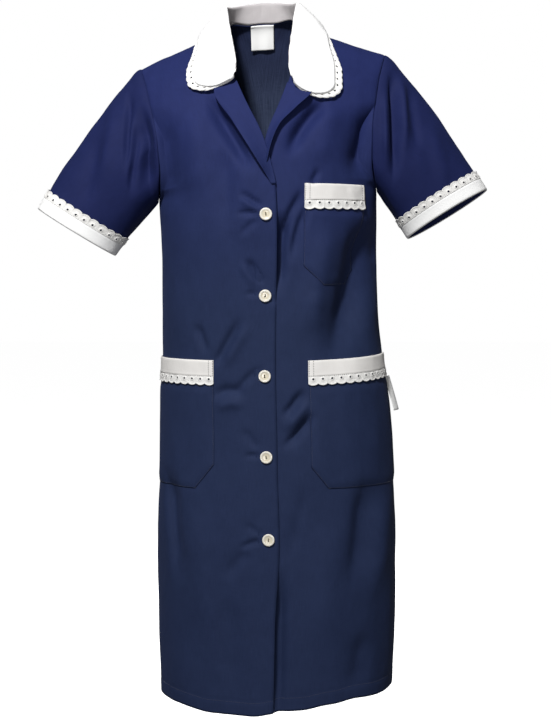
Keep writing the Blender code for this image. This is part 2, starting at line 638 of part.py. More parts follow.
def sleeve_curve(row, share, s):
    """Points along the sleeve's outer face at one place around it: s is 0 at the armhole."""
    side, end_x, end_y, end_z, half_width, half_depth, lean, look = row
    lean, look = math.radians(lean), math.radians(look)
    axis = np.array([side * math.sin(lean), 0.0, -math.cos(lean)])
    wide = np.array([side * math.cos(lean), 0.0, math.sin(lean)])
    deep = np.array([0.0, -math.cos(look), 0.0]) - axis * math.sin(look)
    angle = share * 2 * math.pi
    start = body_point(side * 1.0, armhole(share))
    stop = (np.array([end_x, end_y, end_z]) + wide * half_width * math.cos(angle)
            + deep * half_depth * math.sin(angle))
    top = (1 + math.cos(angle)) / 2  # 1 at the shoulder, where the sleeve leaves less steeply
    leave = unit(np.array([side * (0.62 + 0.16 * top), -0.18 * math.sin(angle), -0.78 + 0.10 * top]))
    reach = np.linalg.norm(stop - start)
    start = start + leave * ARMHOLE_GAP + np.array([side * ARMHOLE_SIDE_GAP, 0.0, 0.0])
    s = np.asarray(s, float)[..., None]
    return (start * (1 + 2 * s) * (1 - s) ** 2 + stop * s * s * (3 - 2 * s)
            + leave * reach * SLEEVE_HEAD * s * (1 - s) ** 2 - axis * reach * SLEEVE_FALL * s * s * (1 - s))


def sleeve_grid(row, around_count):
    """The sleeve's outer face, a row for each ring, from the armhole to its open end.

    The last two rings are where the lace and the band start, the same distance from the end
    all round.
    """
    fine = np.linspace(0.0, 1.0, 61)
    columns = []
    for k in range(around_count):
        points = sleeve_curve(row, k / around_count, fine)
        length = np.concatenate([[0.0], np.cumsum(np.linalg.norm(np.diff(points, axis=0), axis=1))])
        band = length[-1] - CUFF_BAND
        lace = band - CUFF_LACE
        places = np.concatenate([np.linspace(0.0, lace, SLEEVE_ALONG), [band, length[-1]]])
        columns.append(sleeve_curve(row, k / around_count, np.interp(places, length, fine)))
    return np.array(columns).transpose(1, 0, 2)


def ring_normals(grid):
    """Outward directions of a closed grid (rows along, columns around)."""
    around = np.roll(grid, -1, axis=1) - np.roll(grid, 1, axis=1)
    along = np.gradient(grid, axis=0)
    normal = unit(np.cross(around, along))
    middle = grid.mean(axis=1, keepdims=True)
    sign = np.sign(np.sum(normal * (grid - middle), axis=-1, keepdims=True).mean())
    return normal * sign


def make_sleeve(name, row):
    """A sleeve with the cuff band and the lace that lie round its open end."""
    grid = sleeve_grid(row, SLEEVE_AROUND)
    if name == "left":
        grid = grid[:, ::-1]
    sheet("sleeve_" + name, [grid], "navy", CLOTH, closed=True)
    over = grid + ring_normals(grid) * (LIE + CLOTH)
    sheet("cuff_" + name, [over[-2:]], "white", CLOTH, closed=True)
    lace = over[-3:-1]
    lace[1] += (lace[0] - lace[1]) * 2 * SEAM / CUFF_LACE
    sheet("cuff_lace_" + name, [lace], "lace", TRIM, closed=True)


def main():
    for piece in list(bpy.data.objects):
        bpy.data.objects.remove(piece, do_unlink=True)
    collection = bpy.data.collections.get("work_smock") or bpy.data.collections.new("work_smock")
    if collection.name not in bpy.context.scene.collection.children:
        bpy.context.scene.collection.children.link(collection)
    make_front("front_right", -1)
    make_front("front_left", 1)
    make_back()
    make_lapel("lapel_right", -1, LAPEL_RIGHT)
    make_lapel("lapel_left", 1, LAPEL_LEFT)
    make_sleeve("right", SLEEVE_RIGHT)
    make_sleeve("left", SLEEVE_LEFT)
    make_collar()
    make_pocket("chest_pocket", 1, CHEST_POCKET, CHEST_BAND, CHEST_POCKET_GRID)
    make_pocket("hip_pocket_left", 1, HIP_POCKET_LEFT, HIP_BAND_LEFT, HIP_POCKET_GRID)
    make_pocket("hip_pocket_right", -1, HIP_POCKET_RIGHT, HIP_BAND_RIGHT, HIP_POCKET_GRID)
    for number, level in enumerate(BUTTON_LEVELS, 1):
        make_button("button_%d" % number, level)
    make_neck_label()
    make_side_label()


main()
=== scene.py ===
"""The looks of the short-sleeved work smock: fine cloth shells with creases, eyelet lace, stitching,
buttons and bare labels, on the form of the CAD model.  Metres, in the CAD model's frame.

The tables and the body's surface repeat those of the CAD model's source, so each piece lies where
its solid does, and creases move the cloth by millimetres along the surface's normal.
"""
import math

import bpy
import numpy as np
from mathutils import Matrix, Vector, noise


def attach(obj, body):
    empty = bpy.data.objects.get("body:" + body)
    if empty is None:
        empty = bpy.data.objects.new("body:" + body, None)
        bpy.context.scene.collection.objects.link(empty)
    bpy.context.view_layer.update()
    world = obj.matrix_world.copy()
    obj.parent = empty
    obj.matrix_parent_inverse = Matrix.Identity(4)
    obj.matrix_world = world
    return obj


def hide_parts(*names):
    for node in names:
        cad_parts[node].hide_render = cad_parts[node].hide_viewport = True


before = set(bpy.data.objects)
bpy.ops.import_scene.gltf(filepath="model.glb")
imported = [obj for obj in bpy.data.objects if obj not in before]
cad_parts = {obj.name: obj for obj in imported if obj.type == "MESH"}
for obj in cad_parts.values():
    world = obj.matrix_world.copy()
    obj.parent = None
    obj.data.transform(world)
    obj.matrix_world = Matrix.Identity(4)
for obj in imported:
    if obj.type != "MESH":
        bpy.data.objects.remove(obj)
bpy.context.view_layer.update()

# --- driving dimensions
CLOTH_WALL = 0.0008
DOUBLE_WALL = 0.0013      # collar, bands and cuffs are double
LACE_WALL = 0.0006
LABEL_WALL = 0.0004
POCKET_LIFT = 0.0010      # outer face of a pocket above its panel's outer face
BAND_LIFT = 0.0029
LACE_LIFT = 0.0025
CUFF_LIFT = 0.0022

BODY_STEP = 0.0036        # spacing of the cloth's mesh
BACK_STEP = 0.0040
TRIM_STEP = 0.0025
SLEEVE_STEP = 0.0034
POCKET_STEP = 0.0026
BAND_STEP = 0.0022

EYELET_HOLE = 0.0018      # radius
EYELET_RING = 0.0030      # outer radius of its embroidered ring
RING_HEIGHT = 0.0006
RIM_WIDTH = 0.0017
RIM_HEIGHT = 0.0006
SCALLOP_SIDE = 6          # mesh points along a scallop's cut sides and along its long ones
SCALLOP_LONG = 12

STITCH_LENGTH = 0.0026
STITCH_GAP = 0.0007
STITCH_RADIUS = 0.00026
HEM_STITCHES = 0.0205     # how far above the hem they run
EDGE_STITCHES = 0.0022    # how far inside a sewn edge

BAND_SEAMS = (0.0085, 0.0016)  # a band's rows of stitches, from its inner edge and from a free outer one
BAND_END_SEAMS = (0.0060, 0.0012)

BUTTON_RADIUS = 0.0095
BUTTON_THICK = 0.0032
BUTTON_DISH = 0.0009
BUTTON_HOLE = 0.0010
BUTTON_HOLES_APART = 0.0036
BUTTON_LEVELS = (-0.2925, -0.416, -0.539, -0.663, -0.790)
BUTTON_TILTS = (8.0, -14.0, 6.0, 12.0, -9.0)  # how far each thread is from upright, in degrees

NECK_HALF = 0.068
NECK_RISE = (0.011, 0.014)  # the back's neckline is nearly level: its rise at the right and left
SIDE_SEAM = 0.99999  # how far round the panels reach: 1 is the side seam's line
PANEL_HALF = 0.27    # the panels' and the sleeves' rough reach, for their number of mesh points
PANEL_LEVELS = ("hem", "skirt", "waist", "chest")  # the solids that make up each CAD panel
EDGE_RAISE = 0.0019  # how far the right front stands off the left one at its edge, and at its lapel
LAPEL_RAISE = 0.0046
RAISE_FULL = 0.022
RAISE_END = 0.065
LAPEL_BULGE = 0.04
COLLAR_FOLD_RADIUS = 0.0024
COLLAR_LACE = 0.0152
COLLAR_BULGE = 0.05
COLLAR_BACK_SHARE = 0.34
COLLAR_FRONT_V = 1.7
COLLAR_FOOT = 0.0008
LEAF_ROWS = 22       # rows of the collar's mesh on its leaf, its fold and its stand
FOLD_ROWS = 8
STAND_ROWS = 10
CUFF_BAND = 0.022    # height of the cuffs, and of the lace beside them and below the bands
CUFF_LACE = 0.013
CUFF_ROWS = 10
POCKET_LACE = 0.013
POCKET_SEAM = 0.004
SLEEVE_HEAD = 0.70
SLEEVE_FALL = 0.80
NECK_LABEL = (0.0375, 0.0405)
NECK_LABEL_TOP = 0.0192
NECK_LABEL_FREE = 0.0172  # above this it is sewn to the stand
NECK_LABEL_INSET = 0.0030
SIDE_LABEL = (0.024, 0.055)
SIDE_LABEL_TOP = -0.548
LABEL_LEAVES = (0.0, 0.35, 0.75, 1.15)  # how far each leaf of the care label opens

FLOOR = -1.42
FLOOR_GLOW = 0.85         # the sweep under the smock is lit from behind
WORLD_LIGHT = 0.16
CAMERA = (0.0104, -2.5, -0.339)
CAMERA_LENS = 78.125      # with the sensor 36 mm wide
CAMERA_DROP = 115.0 / 1562.5  # how far it looks down for each metre ahead
# Each light's name, place, aim, size and power.
LIGHTS = (
    ("key", (-0.50, -1.78, 1.38), (0.0, 0.0, -0.55), 0.24, 80.0),
    ("fill", (-0.20, -2.60, -0.70), (0.0, 0.0, -0.85), 0.60, 12.5),
    ("back", (0.0, 2.8, 0.6), (0.0, 0.0, -0.4), 1.0, 60.0),
)


# --- tables
def table(columns, *rows):
    """A table's columns by name.  Its lengths are given in millimetres and read in metres."""
    as_given = ("square", "turn")  # a power and degrees

    def read(name, cell):
        return cell if name in as_given or isinstance(cell, str) else round(cell / 1000, 7)

    return {name: [read(name, cell) for cell in cells] for name, cells in zip(columns.split(), zip(*rows))}


BODY = table(
    "name centre_y centre_z side_x side_y side_z square edge_x",
    ("front hem", -135, -1062, 187, 0, -1049, 2.3, -12.5),
    ("front knee", -133, -935, 191.5, 0, -930, 2.3, -14.5),
    ("front thigh", -131, -820, 192.5, 0, -820, 2.3, -16.5),
    ("front hip", -128, -705, 187.5, 0, -705, 2.3, -16.5),
    ("front high hip", -125, -600, 182.5, 0, -600, 2.3, -16.5),
    ("front waist", -121, -500, 174.5, 0, -500, 2.3, -16.5),
    ("front ribs", -121, -400, 171, 0, -400, 2.25, -16.5),
    ("front bust", -125, -310, 171.5, 0, -315, 2.2, -16.5),
    ("front underarm", -122, -256, 173, 0, -263, 2.15, -15),
    ("front arm low", -117, -215, 169, -36, -247, 1.95, -7.5),
    ("front arm", -109, -170, 165.5, -57, -215, 1.85, 4.5),
    ("front chest", -97, -125, 167, -62, -172, 1.8, 23),
    ("front arm high", -83, -83, 174, -50, -128, 1.8, 40),
    ("front shoulder", -58, -36, 183, -28, -84, 1.85, 56),
    ("shoulder seam", 0, 11, 194, 0, -51, 2, 68),
    ("back neck", 66, 18, 188, 22, -74, 2, 0),
    ("back shoulder", 88, -40, 180, 47, -112, 2.05, 0),
    ("back arm high", 101, -95, 172, 62, -155, 2.05, 0),
    ("back arm", 108, -155, 168, 62, -205, 2.1, 0),
    ("back arm low", 110, -212, 170, 40, -246, 2.15, 0),
    ("back underarm", 110, -258, 173, 0, -263, 2.2, 0),
    ("back bust", 109, -310, 171.5, 0, -315, 2.25, 0),
    ("back ribs", 106, -400, 171, 0, -400, 2.25, 0),
    ("back waist", 107, -500, 174.5, 0, -500, 2.25, 0),
    ("back high hip", 122, -600, 182.5, 0, -600, 2.25, 0),
    ("back hip", 133, -705, 187.5, 0, -705, 2.25, 0),
    ("back thigh", 137, -820, 192.5, 0, -820, 2.25, 0),
    ("back knee", 138, -935, 191.5, 0, -930, 2.25, 0),
    ("back hem", 138, -1052, 187, 0, -1049, 2.25, 0),
)

# turn is in degrees and tilt in millimetres for each metre.
STANCE = table("z sway turn tilt",
               (-1080, 12.5, -7.5, 52), (-930, 12.5, -7.5, 16), (-800, 12.5, -5.5, 0),
               (-660, 12, -7, 0), (-540, 6, -5.5, 0), (-430, 1, -3, 0), (-360, 0, -2, 20),
               (-270, -2, -1, 49), (-150, -7, 0, 57), (-50, -10, 0, 57), (60, -12, 0, 57))

COLLAR_COLUMNS = "fold_x fold_y fold_z edge_x edge_z face lift"
COLLAR_BACK = (
    (0, 66.5, 50, 0, -45, "back", 3.5), (28, 59, 48, 47, -46, "back", 4.5),
    (47, 37, 42.5, 86, -40, "back", 6.5), (56, 6, 39, 104, -21.5, "front", 4.8),
)
COLLAR_RIGHT = table(
    COLLAR_COLUMNS, *COLLAR_BACK,
    (52, -29, 10, 109, -42, "front", 5), (46, -62, -26, 117, -70, "front", 6.6),
    (42, -82, -50, 114.5, -89, "front", 6.8), (41, -87, -59, 101, -98.5, "front", 6.8),
    (41, -90, -66, 77, -100, "front", 6.8), (42, -93, -71.5, 56, -93.5, "front", 6.8),
    (43, -95, -74.5, 43.5, -86.5, "front", 6.8),
)
COLLAR_LEFT = table(
    COLLAR_COLUMNS, *COLLAR_BACK,
    (51, -29, 10, 113, -49, "front", 5), (44, -64, -30, 121, -83, "front", 6.6),
    (41.5, -86, -58, 120, -107, "front", 6.8), (41.5, -92, -68, 107, -120.5, "front", 6.8),
    (42.5, -95.5, -76.5, 80, -121, "front", 6.8), (44, -98.5, -83.5, 60, -112, "front", 6.8),
    (46, -100.5, -87.5, 46.5, -100.5, "front", 6.8),
)

LAPEL_RIGHT = table("z free_x", (-248, -8.5), (-200, 18), (-150, 47), (-104, 73), (-86, 74))
LAPEL_LEFT = table("z free_x", (-235, -2), (-192, 7.5), (-161, 21), (-135, 48), (-112, 72), (-94, 74))

# Pockets, bands: inner x and z, outer x and z at each level from the top, in metres.
SEAM_X = 1.0  # this outer x means that the piece runs into the side seam
CHEST_BAND = ((0.0585, -0.2485, 0.1510, -0.2545), (0.0585, -0.2745, 0.1505, -0.2790))
CHEST_POCKET = ((0.0595, -0.2600, 0.1500, -0.2660), (0.0560, -0.3710, 0.1495, -0.3800),
                (0.0870, -0.4010, 0.1370, -0.4010))
HIP_BAND_LEFT = ((0.0655, -0.5150, SEAM_X, -0.5085), (0.0655, -0.5405, SEAM_X, -0.5330))
HIP_POCKET_LEFT = ((0.0665, -0.5280, SEAM_X, -0.5200), (0.0675, -0.6780, SEAM_X, -0.6780),
                   (0.0935, -0.7120, SEAM_X, -0.7120))
HIP_BAND_RIGHT = ((0.0795, -0.5155, SEAM_X, -0.5155), (0.0795, -0.5415, SEAM_X, -0.5415))
HIP_POCKET_RIGHT = ((0.0795, -0.5280, SEAM_X, -0.5280), (0.0825, -0.6770, SEAM_X, -0.6770),
                    (0.1150, -0.7160, SEAM_X, -0.7160))

# Sleeves: side, the open end's middle, half width, half depth, lean and look (degrees).
SLEEVE_RIGHT = (-1, -0.3065, -0.004, -0.3185, 0.0705, 0.042, 31.5, 0.0)
SLEEVE_LEFT = (1, 0.2840, -0.004, -0.2905, 0.0715, 0.042, 31.5, 9.0)

SECTIONS = BODY["name"]
V_FRONT_BUST = SECTIONS.index("front bust")
V_FRONT_UNDERARM = SECTIONS.index("front underarm")
V_SHOULDER = SECTIONS.index("shoulder seam")
V_NECK = SECTIONS.index("back neck")
V_BACK_UNDERARM = SECTIONS.index("back underarm")
V_END = len(SECTIONS) - 1

# Each crease runs from point 1 through point 2 to point 3, as seen straight from the front (or from
# the back, for those of the back): x1, z1, x2, z2, x3, z3, then its half width and how far it stands
# out (below 0 it is a trough), all in millimetres, and how much steeper one flank of it is.
CREASES = {
    "right": (
        # pulls at the buttons and their holes
        (-46, -258, -27, -270, -8, -284, 3.6, -3.6, 0), (-44, -266, -28, -279, -10, -290, 4.2, 2, 0),
        (-50, -290, -32, -291, -13, -291, 3.8, -2.4, 0),
        (-42, -328, -30, -311, -14, -300, 4.5, -1.6, 0),
        (-34, -358, -22, -378, -6, -402, 4.4, -3.2, 0), (-44, -362, -32, -384, -16, -406, 5.2, 1.4, 0),
        (-36, -413, -26, -413, -13, -414, 3.4, -1.5, 0), (2, -417, 7, -422, 13, -430, 3.4, -1.5, 0),
        (-6, -522, -34, -545, -52, -570, 5, -2, 0), (-40, -445, -66, -492, -86, -530, 7.5, -3.2, 0.3),
        (-26, -452, -52, -495, -74, -532, 9, 2.2, 0), (-112, -458, -104, -482, -94, -510, 6, -2, 0),
        (-86, -580, -63, -562, -32, -574, 6.5, -2.6, 0.3),
        (-80, -597, -60, -581, -34, -590, 8, 1.8, 0), (-36, -661, -26, -661, -12, -662, 3.6, -1.8, 0),
        (-40, -618, -28, -636, -14, -652, 5.2, -1.4, 0), (-48, -806, -26, -796, -8, -789, 4.2, -2, 0),
        (-34, -764, -22, -776, -8, -786, 4, -1.4, 0), (-70, -860, -48, -826, -30, -806, 9, -1.6, 0),
        # the shadowed hollows along the lapels' free edges
        (-98, -106, -59, -170, -21, -234, 10, -7.4, 0),
        # along the edge of the opening
        (11, -300, 13, -350, 11, -405, 8, 1.2, 0), (9, -850, 9, -950, 8, -1110, 8, 1, 0),
        # hollows in front of the armholes
        (-170, -125, -160, -205, -160, -295, 22, -6.4, 0),
        (-116, -130, -106, -200, -104, -290, 20, 3, 0), (-74, -190, -66, -250, -70, -330, 15, -1.8, 0),
        # the skirt
        (-160, -680, -153, -770, -144, -880, 10, -4.8, 0.4),
        (-110, -740, -104, -850, -94, -980, 22, 1.8, 0),
        (-60, -870, -62, -950, -56, -1030, 18, -1.6, 0),
    ),
    "left": (
        # the shadowed hollows along the lapels' free edges
        (93, -118, 56, -154, 29, -210, 10, -7.4, 0),
        # beside the opening
        (56, -250, 30, -298, 18, -352, 7.5, -4.8, 0.4), (64, -268, 44, -318, 34, -372, 6.5, -3.4, 0.3),
        (46, -262, 34, -305, 26, -350, 6, 2, 0), (78, -222, 71, -236, 64, -250, 4, -2.6, 0),
        (16, -284, 17, -345, 14, -420, 7.2, -7.4, 0.3), (56, -556, 38, -580, 20, -604, 6.5, -3.4, 0.3),
        (70, -592, 46, -622, 20, -652, 6.5, -3.6, 0.3), (64, -574, 44, -600, 22, -626, 7, 2.4, 0),
        (17, -830, 15, -950, 12, -1120, 7.2, -6, 0.3),
        # the wide soft fold from the chest pocket down to the hip, and the side beyond it
        (151, -292, 134, -395, 92, -540, 31, -11.2, 0.3), (176, -290, 170, -400, 146, -500, 18, 4, 0),
        (92, -300, 76, -390, 50, -490, 20, 3.4, 0), (66, -405, 74, -440, 70, -480, 14, 1.4, 0),
        # hollows in front of the armholes
        (168, -118, 155, -182, 138, -250, 25, -11.6, 0), (100, -112, 86, -168, 72, -225, 20, 3, 0),
        # the skirt
        (150, -690, 142, -780, 128, -880, 18, -4.6, 0.2),
        (180, -700, 176, -800, 166, -900, 14, 2.6, 0), (98, -760, 94, -860, 84, -980, 20, 1.6, 0),
        (56, -700, 46, -760, 26, -830, 10, -1.4, 0), (150, -930, 140, -985, 134, -1040, 16, -2.4, 0),
    ),
    "back": (
        (-120, -110, -122, -190, -140, -290, 20, -5.2, 0),
        (112, -100, 114, -185, 132, -280, 21, -5.4, 0), (-86, -140, -80, -230, -88, -330, 20, 2.2, 0),
        (74, -130, 70, -220, 80, -320, 21, 2.2, 0), (-140, -420, -70, -470, 10, -452, 12, -3.6, 0.3),
        (150, -440, 90, -492, 6, -486, 11, -3.4, 0.3),
        (-120, -500, -50, -530, 40, -516, 13, -2.8, 0.2),
        (-60, -300, -52, -380, -64, -450, 18, -2.6, 0), (56, -300, 50, -380, 60, -440, 17, -2.4, 0),
        (-112, -600, -104, -760, -112, -960, 24, -4.2, 0.2),
        (-56, -640, -52, -800, -46, -1000, 24, 3.2, 0), (20, -620, 14, -790, 24, -990, 24, -3.6, 0.2),
        (82, -650, 86, -820, 94, -1010, 23, 3, 0), (140, -610, 146, -770, 140, -930, 19, -3.6, 0.2),
        (-160, -620, -156, -760, -152, -900, 13, 2.4, 0),
    ),
    "sleeve_right front": (
        (-219, -92, -221, -160, -222, -238, 5.5, -4, 0.4),
        (-207, -150, -212, -205, -216, -268, 5.5, -4, 0.3),
        (-186, -110, -183, -190, -178, -275, 22, -10, 0),
        (-214, -120, -216, -180, -219, -250, 4, 2.2, 0),
        (-240, -110, -250, -180, -262, -260, 13, 2.6, 0),
        (-262, -160, -278, -225, -292, -290, 11, -1.8, 0),
    ),
    "sleeve_left front": (
        (190, -60, 194, -150, 193, -250, 6.8, -6.8, 0.3), (178, -92, 180, -160, 182, -236, 5, 2.6, 0),
        (206, -68, 210, -130, 212, -200, 7, 2.8, 0), (218, -84, 226, -140, 232, -200, 7, -1.8, 0),
        (250, -140, 266, -200, 280, -260, 13, 2, 0),
    ),
    "sleeve_right back": (
        (-206, -100, -210, -170, -206, -250, 7, -4.4, 0.3),
        (-226, -110, -236, -180, -246, -256, 10, 2.6, 0),
        (-250, -140, -264, -205, -276, -275, 9, -2.2, 0),
    ),
    "sleeve_left back": (
        (196, -80, 200, -155, 196, -235, 7, -4.6, 0.3), (216, -90, 226, -160, 236, -235, 10, 2.6, 0),
        (242, -120, 256, -185, 266, -250, 9, -2, 0),
    ),
}
CREASE_STRENGTH = 2.2
# Soft unevenness of the cloth everywhere: size of the waves and how far they move the cloth.
RIPPLES = ((0.085, 0.0024), (0.034, 0.0013), (0.012, 0.00032))
RIPPLE_STRETCH = 2.4  # how much longer they are down the cloth than across it


# --- reading the tables
def flow(at, values, x):
    """A smooth line through the values at the given places, without overshoot, read at x."""
    at, values = np.asarray(at, float), np.asarray(values, float)
    step = np.diff(at)
    slope = np.diff(values) / step
    product = slope[:-1] * slope[1:]
    total = np.where(product > 0, slope[:-1] + slope[1:], 1.0)
    tangent = np.concatenate([slope[:1], np.where(product > 0, 2.0 * product / total, 0.0), slope[-1:]])
    x = np.clip(np.asarray(x, float), at[0], at[-1])
    i = np.clip(np.searchsorted(at, x, side="right") - 1, 0, len(at) - 2)
    s = (x - at[i]) / step[i]
    rise = step[i] * (tangent[i] * s * (1 - s) ** 2 - tangent[i + 1] * s ** 2 * (1 - s))
    return values[i] * (1 + 2 * s) * (1 - s) ** 2 + values[i + 1] * s ** 2 * (3 - 2 * s) + rise


def body(name, v):
    """A column of the body's table read at v, the number of a section with parts between them."""
    return flow(range(len(SECTIONS)), BODY[name], v)


def smooth(value):
    """0 to 1 with soft ends."""
    value = np.clip(value, 0.0, 1.0)
    return value * value * (3.0 - 2.0 * value)


def bell(distance, width):
    """1 at no distance, fading within a few widths."""
    return np.exp(-(distance / width) ** 2)


def unit(vectors):
    length = np.linalg.norm(vectors, axis=-1, keepdims=True)
    return vectors / np.maximum(length, 1e-12)


def alike(first, second):
    """Two values as float arrays of one shape."""
    return np.broadcast_arrays(np.asarray(first, float), np.asarray(second, float))


# --- the body's surface
def level_point(around, v):
    """A point of the level body: around is 0 on the centre line and 1 at the wearer's left."""
    around, v = alike(around, v)
    angle = np.clip(np.abs(around), 0.0, 1.0) * math.pi / 2
    power = 2.0 / body("square", v)
    across, deep = np.sin(angle) ** power, np.maximum(np.cos(angle), 0.0) ** power
    side_y, centre_z = body("side_y", v), body("centre_z", v)
    soften = 0.2  # keeps the section level where it crosses the centre line
    fall = (np.hypot(across, soften) - soften) / (math.hypot(1.0, soften) - soften)
    x = np.sign(around) * body("side_x", v) * across
    y = side_y + (body("centre_y", v) - side_y) * deep
    z = centre_z + (body("side_z", v) - centre_z) * fall
    near_neck = smooth((v - V_SHOULDER - 0.25) / 0.5) * (1.0 - smooth((v - V_NECK) / 0.8))
    z = z + np.where(x < 0, *NECK_RISE) * near_neck * bell(np.abs(x) - 0.050, 0.022)
    return np.stack([x, y, z], axis=-1)


def stand(points):
    """The level body's points as the filled-out smock stands: swayed, turned and tilted."""
    x, y, z = np.moveaxis(np.asarray(points, float), -1, 0)
    sway, turn, tilt = (flow(STANCE["z"], STANCE[name], z) for name in ("sway", "turn", "tilt"))
    turn = np.radians(turn)
    return np.stack([x * np.cos(turn) - y * np.sin(turn) + sway, x * np.sin(turn) + y * np.cos(turn),
                     z + tilt * x], axis=-1)


def body_point(around, v):
    return stand(level_point(around, v))


def body_normal(around, v, surface=body_point):
    """The outward direction of the body's surface, or of the level one."""
    step_a, step_v = 0.02, 0.05
    around, v = alike(around, v)
    along = surface(np.clip(around + step_a, -1, 1), v) - surface(np.clip(around - step_a, -1, 1), v)
    up = surface(around, np.clip(v + step_v, 0, V_END)) - surface(around, np.clip(v - step_v, 0, V_END))
    return unit(np.cross(along, up))


def around_at(x, v):
    """The around value of a point whose level x is given."""
    ratio = np.clip(np.abs(x) / body("side_x", v), 0.0, 1.0)
    return np.sign(x) * np.arcsin(ratio ** (body("square", v) / 2)) * 2 / math.pi


def find(x, z, face="front", as_around=False, top=V_SHOULDER):
    """(around, v) of the point of the front or back with the given level x (or around) and z."""
    x, z = alike(x, z)
    low = np.full(x.shape, 0.0 if face == "front" else float(V_END))
    high = np.full(x.shape, float(top))
    for _ in range(30):
        middle = (low + high) / 2
        below = level_point(x if as_around else around_at(x, middle), middle)[..., 2] < z
        low, high = np.where(below, middle, low), np.where(below, high, middle)
    v = (low + high) / 2
    return (x if as_around else around_at(x, v)), v


def raise_right(x, v):
    """How far the right front stands off where it overlaps the left one; x on its own side."""
    most = EDGE_RAISE + (LAPEL_RAISE - EDGE_RAISE) * smooth(v - (V_FRONT_BUST - 0.5))
    fade = 1.0 - smooth((x - RAISE_FULL) / (RAISE_END - RAISE_FULL))
    below_shoulder = 1.0 - smooth((v - (V_SHOULDER - 2.0)) / 1.5)
    return most * fade * below_shoulder


# --- creases on the cloth
def along_crease(points, start, middle, stop):
    """Distance to a crease's line, the side of it (-1 or 1) and the place along it, 0 to 1."""
    bend = 2 * middle - (start + stop) / 2
    t = np.linspace(0.0, 1.0, 13)[:, None]
    line = start * (1 - t) ** 2 + bend * 2 * t * (1 - t) + stop * t * t
    steps = np.diff(line, axis=0)
    best, side, place = np.full(len(points), np.inf), np.zeros(len(points)), np.zeros(len(points))
    for k, step in enumerate(steps):
        away = points - line[k]
        share = np.clip(away @ step / (step @ step), 0.0, 1.0)
        gap = away - share[:, None] * step
        distance = np.hypot(gap[:, 0], gap[:, 1])
        nearer = distance < best
        best = np.where(nearer, distance, best)
        side = np.where(nearer, np.sign(step[0] * away[:, 1] - step[1] * away[:, 0]), side)
        place = np.where(nearer, (k + share) / len(steps), place)
    return best, side, place


def creases(where, points):
    """How far the creases of one place move points along the normal."""
    flat = points[..., [0, 2]].reshape(-1, 2)
    out = np.zeros(len(flat))
    for *sizes, steep in CREASES[where]:
        *ends, width, height = (round(size / 1000, 7) for size in sizes)
        ends = np.array(ends).reshape(3, 2)
        reach = 3.5 * width
        near = np.all((flat > ends.min(axis=0) - reach) & (flat < ends.max(axis=0) + reach), axis=1)
        distance, side, place = along_crease(flat[near], *ends)
        fade = smooth(place / 0.35) * smooth((1.0 - place) / 0.35)
        out[near] += CREASE_STRENGTH * height * bell(distance, width * (1.0 + steep * side)) * fade
    return out.reshape(points.shape[:-1])


def ripples(points):
    """The cloth's soft unevenness: waves that are longer down the cloth than across it."""
    flat = points.reshape(-1, 3)
    out = np.zeros(len(flat))
    for size, height in RIPPLES:
        for k, (x, y, z) in enumerate(flat):
            out[k] += height * noise.noise(Vector((x / size, y / size, z / size / RIPPLE_STRETCH)))
    return out.reshape(points.shape[:-1])


def waves(points, size, height):
    """Small even waves in the cloth."""
    flat = [height * noise.noise(Vector(point) / size) for point in points.reshape(-1, 3)]
    return np.array(flat).reshape(points.shape[:-1])


def side_name(side):
    return "left" if side > 0 else "right"


def front_surface(side, around, v, lift=0.0):
    """Points of a front and its outward directions: around on the panel's own side."""
    around, v = alike(around, v)
    extra = raise_right(level_point(around, v)[..., 0], v) if side < 0 else np.zeros(v.shape)
    normal, base = body_normal(side * around, v), body_point(side * around, v)
    out = extra + lift + creases(side_name(side), base) * smooth((1.0 - around) / 0.10) + ripples(base)
    return base + normal * out[..., None], normal


# --- meshes
def lengths(grid, axis=0):
    """Distances down the columns (axis 0) or along the rows (axis 1) of a grid, or along a line."""
    step = np.linalg.norm(np.diff(grid, axis=axis), axis=-1)
    zero = np.zeros_like(np.take(step, [0], axis=axis))
    return np.concatenate([zero, np.cumsum(step, axis=axis)], axis=axis)


def flat_size(grid):
    """Width and height to the millimetre, and area, of a grid's cloth as it would lie flat."""
    width, height = lengths(grid, 1)[:, -1].max(), lengths(grid)[-1].max()
    across, back = grid[1:, 1:] - grid[:-1, :-1], grid[1:, :-1] - grid[:-1, 1:]
    area = 0.5 * np.linalg.norm(np.cross(across, back), axis=-1).sum()
    return {"flat": (round(float(width), 3), round(float(height), 3)), "area": round(float(area), 5)}


def even(values, points, spacing):
    """Values spaced evenly along the line of points that belongs to them."""
    length = lengths(points)
    count = max(2, round(length[-1] / spacing) + 1)
    return np.interp(np.linspace(0.0, length[-1], count), length, values)


def grid_normals(grid, closed=False):
    """Outward directions of a grid whose rows run up the cloth and columns to +X on the front."""
    if closed:
        around = np.roll(grid, -1, axis=1) - np.roll(grid, 1, axis=1)
    else:
        around = np.gradient(grid, axis=1)
    return unit(np.cross(around, np.gradient(grid, axis=0)))


def new_object(name, points, faces, marks=None):
    """An object with the given mesh and, for its corners, a UV map of lengths along the cloth."""
    mesh = bpy.data.meshes.new(name)
    mesh.from_pydata(points, [], faces)
    if marks is not None:
        mesh.uv_layers.new(name="lengths").data.foreach_set("uv", np.asarray(marks).ravel())
    piece = bpy.data.objects.new(name, mesh)
    bpy.context.scene.collection.objects.link(piece)
    return piece


def finish_piece(piece, node, slot, *materials, wall=None, **said):
    """Give a piece its wall, materials and place in the part.  What cut of cloth it is, given in said, is
    not used.
    """
    if wall:
        solid = piece.modifiers.new("wall", "SOLIDIFY")
        solid.thickness, solid.offset = wall, -1.0
        solid.material_offset = len(materials) - 1
    for material in materials:
        piece.data.materials.append(material)
    piece.data.shade_smooth()
    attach(piece, "root")
    if node:
        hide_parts(*([node] if isinstance(node, str) else node))
    return piece


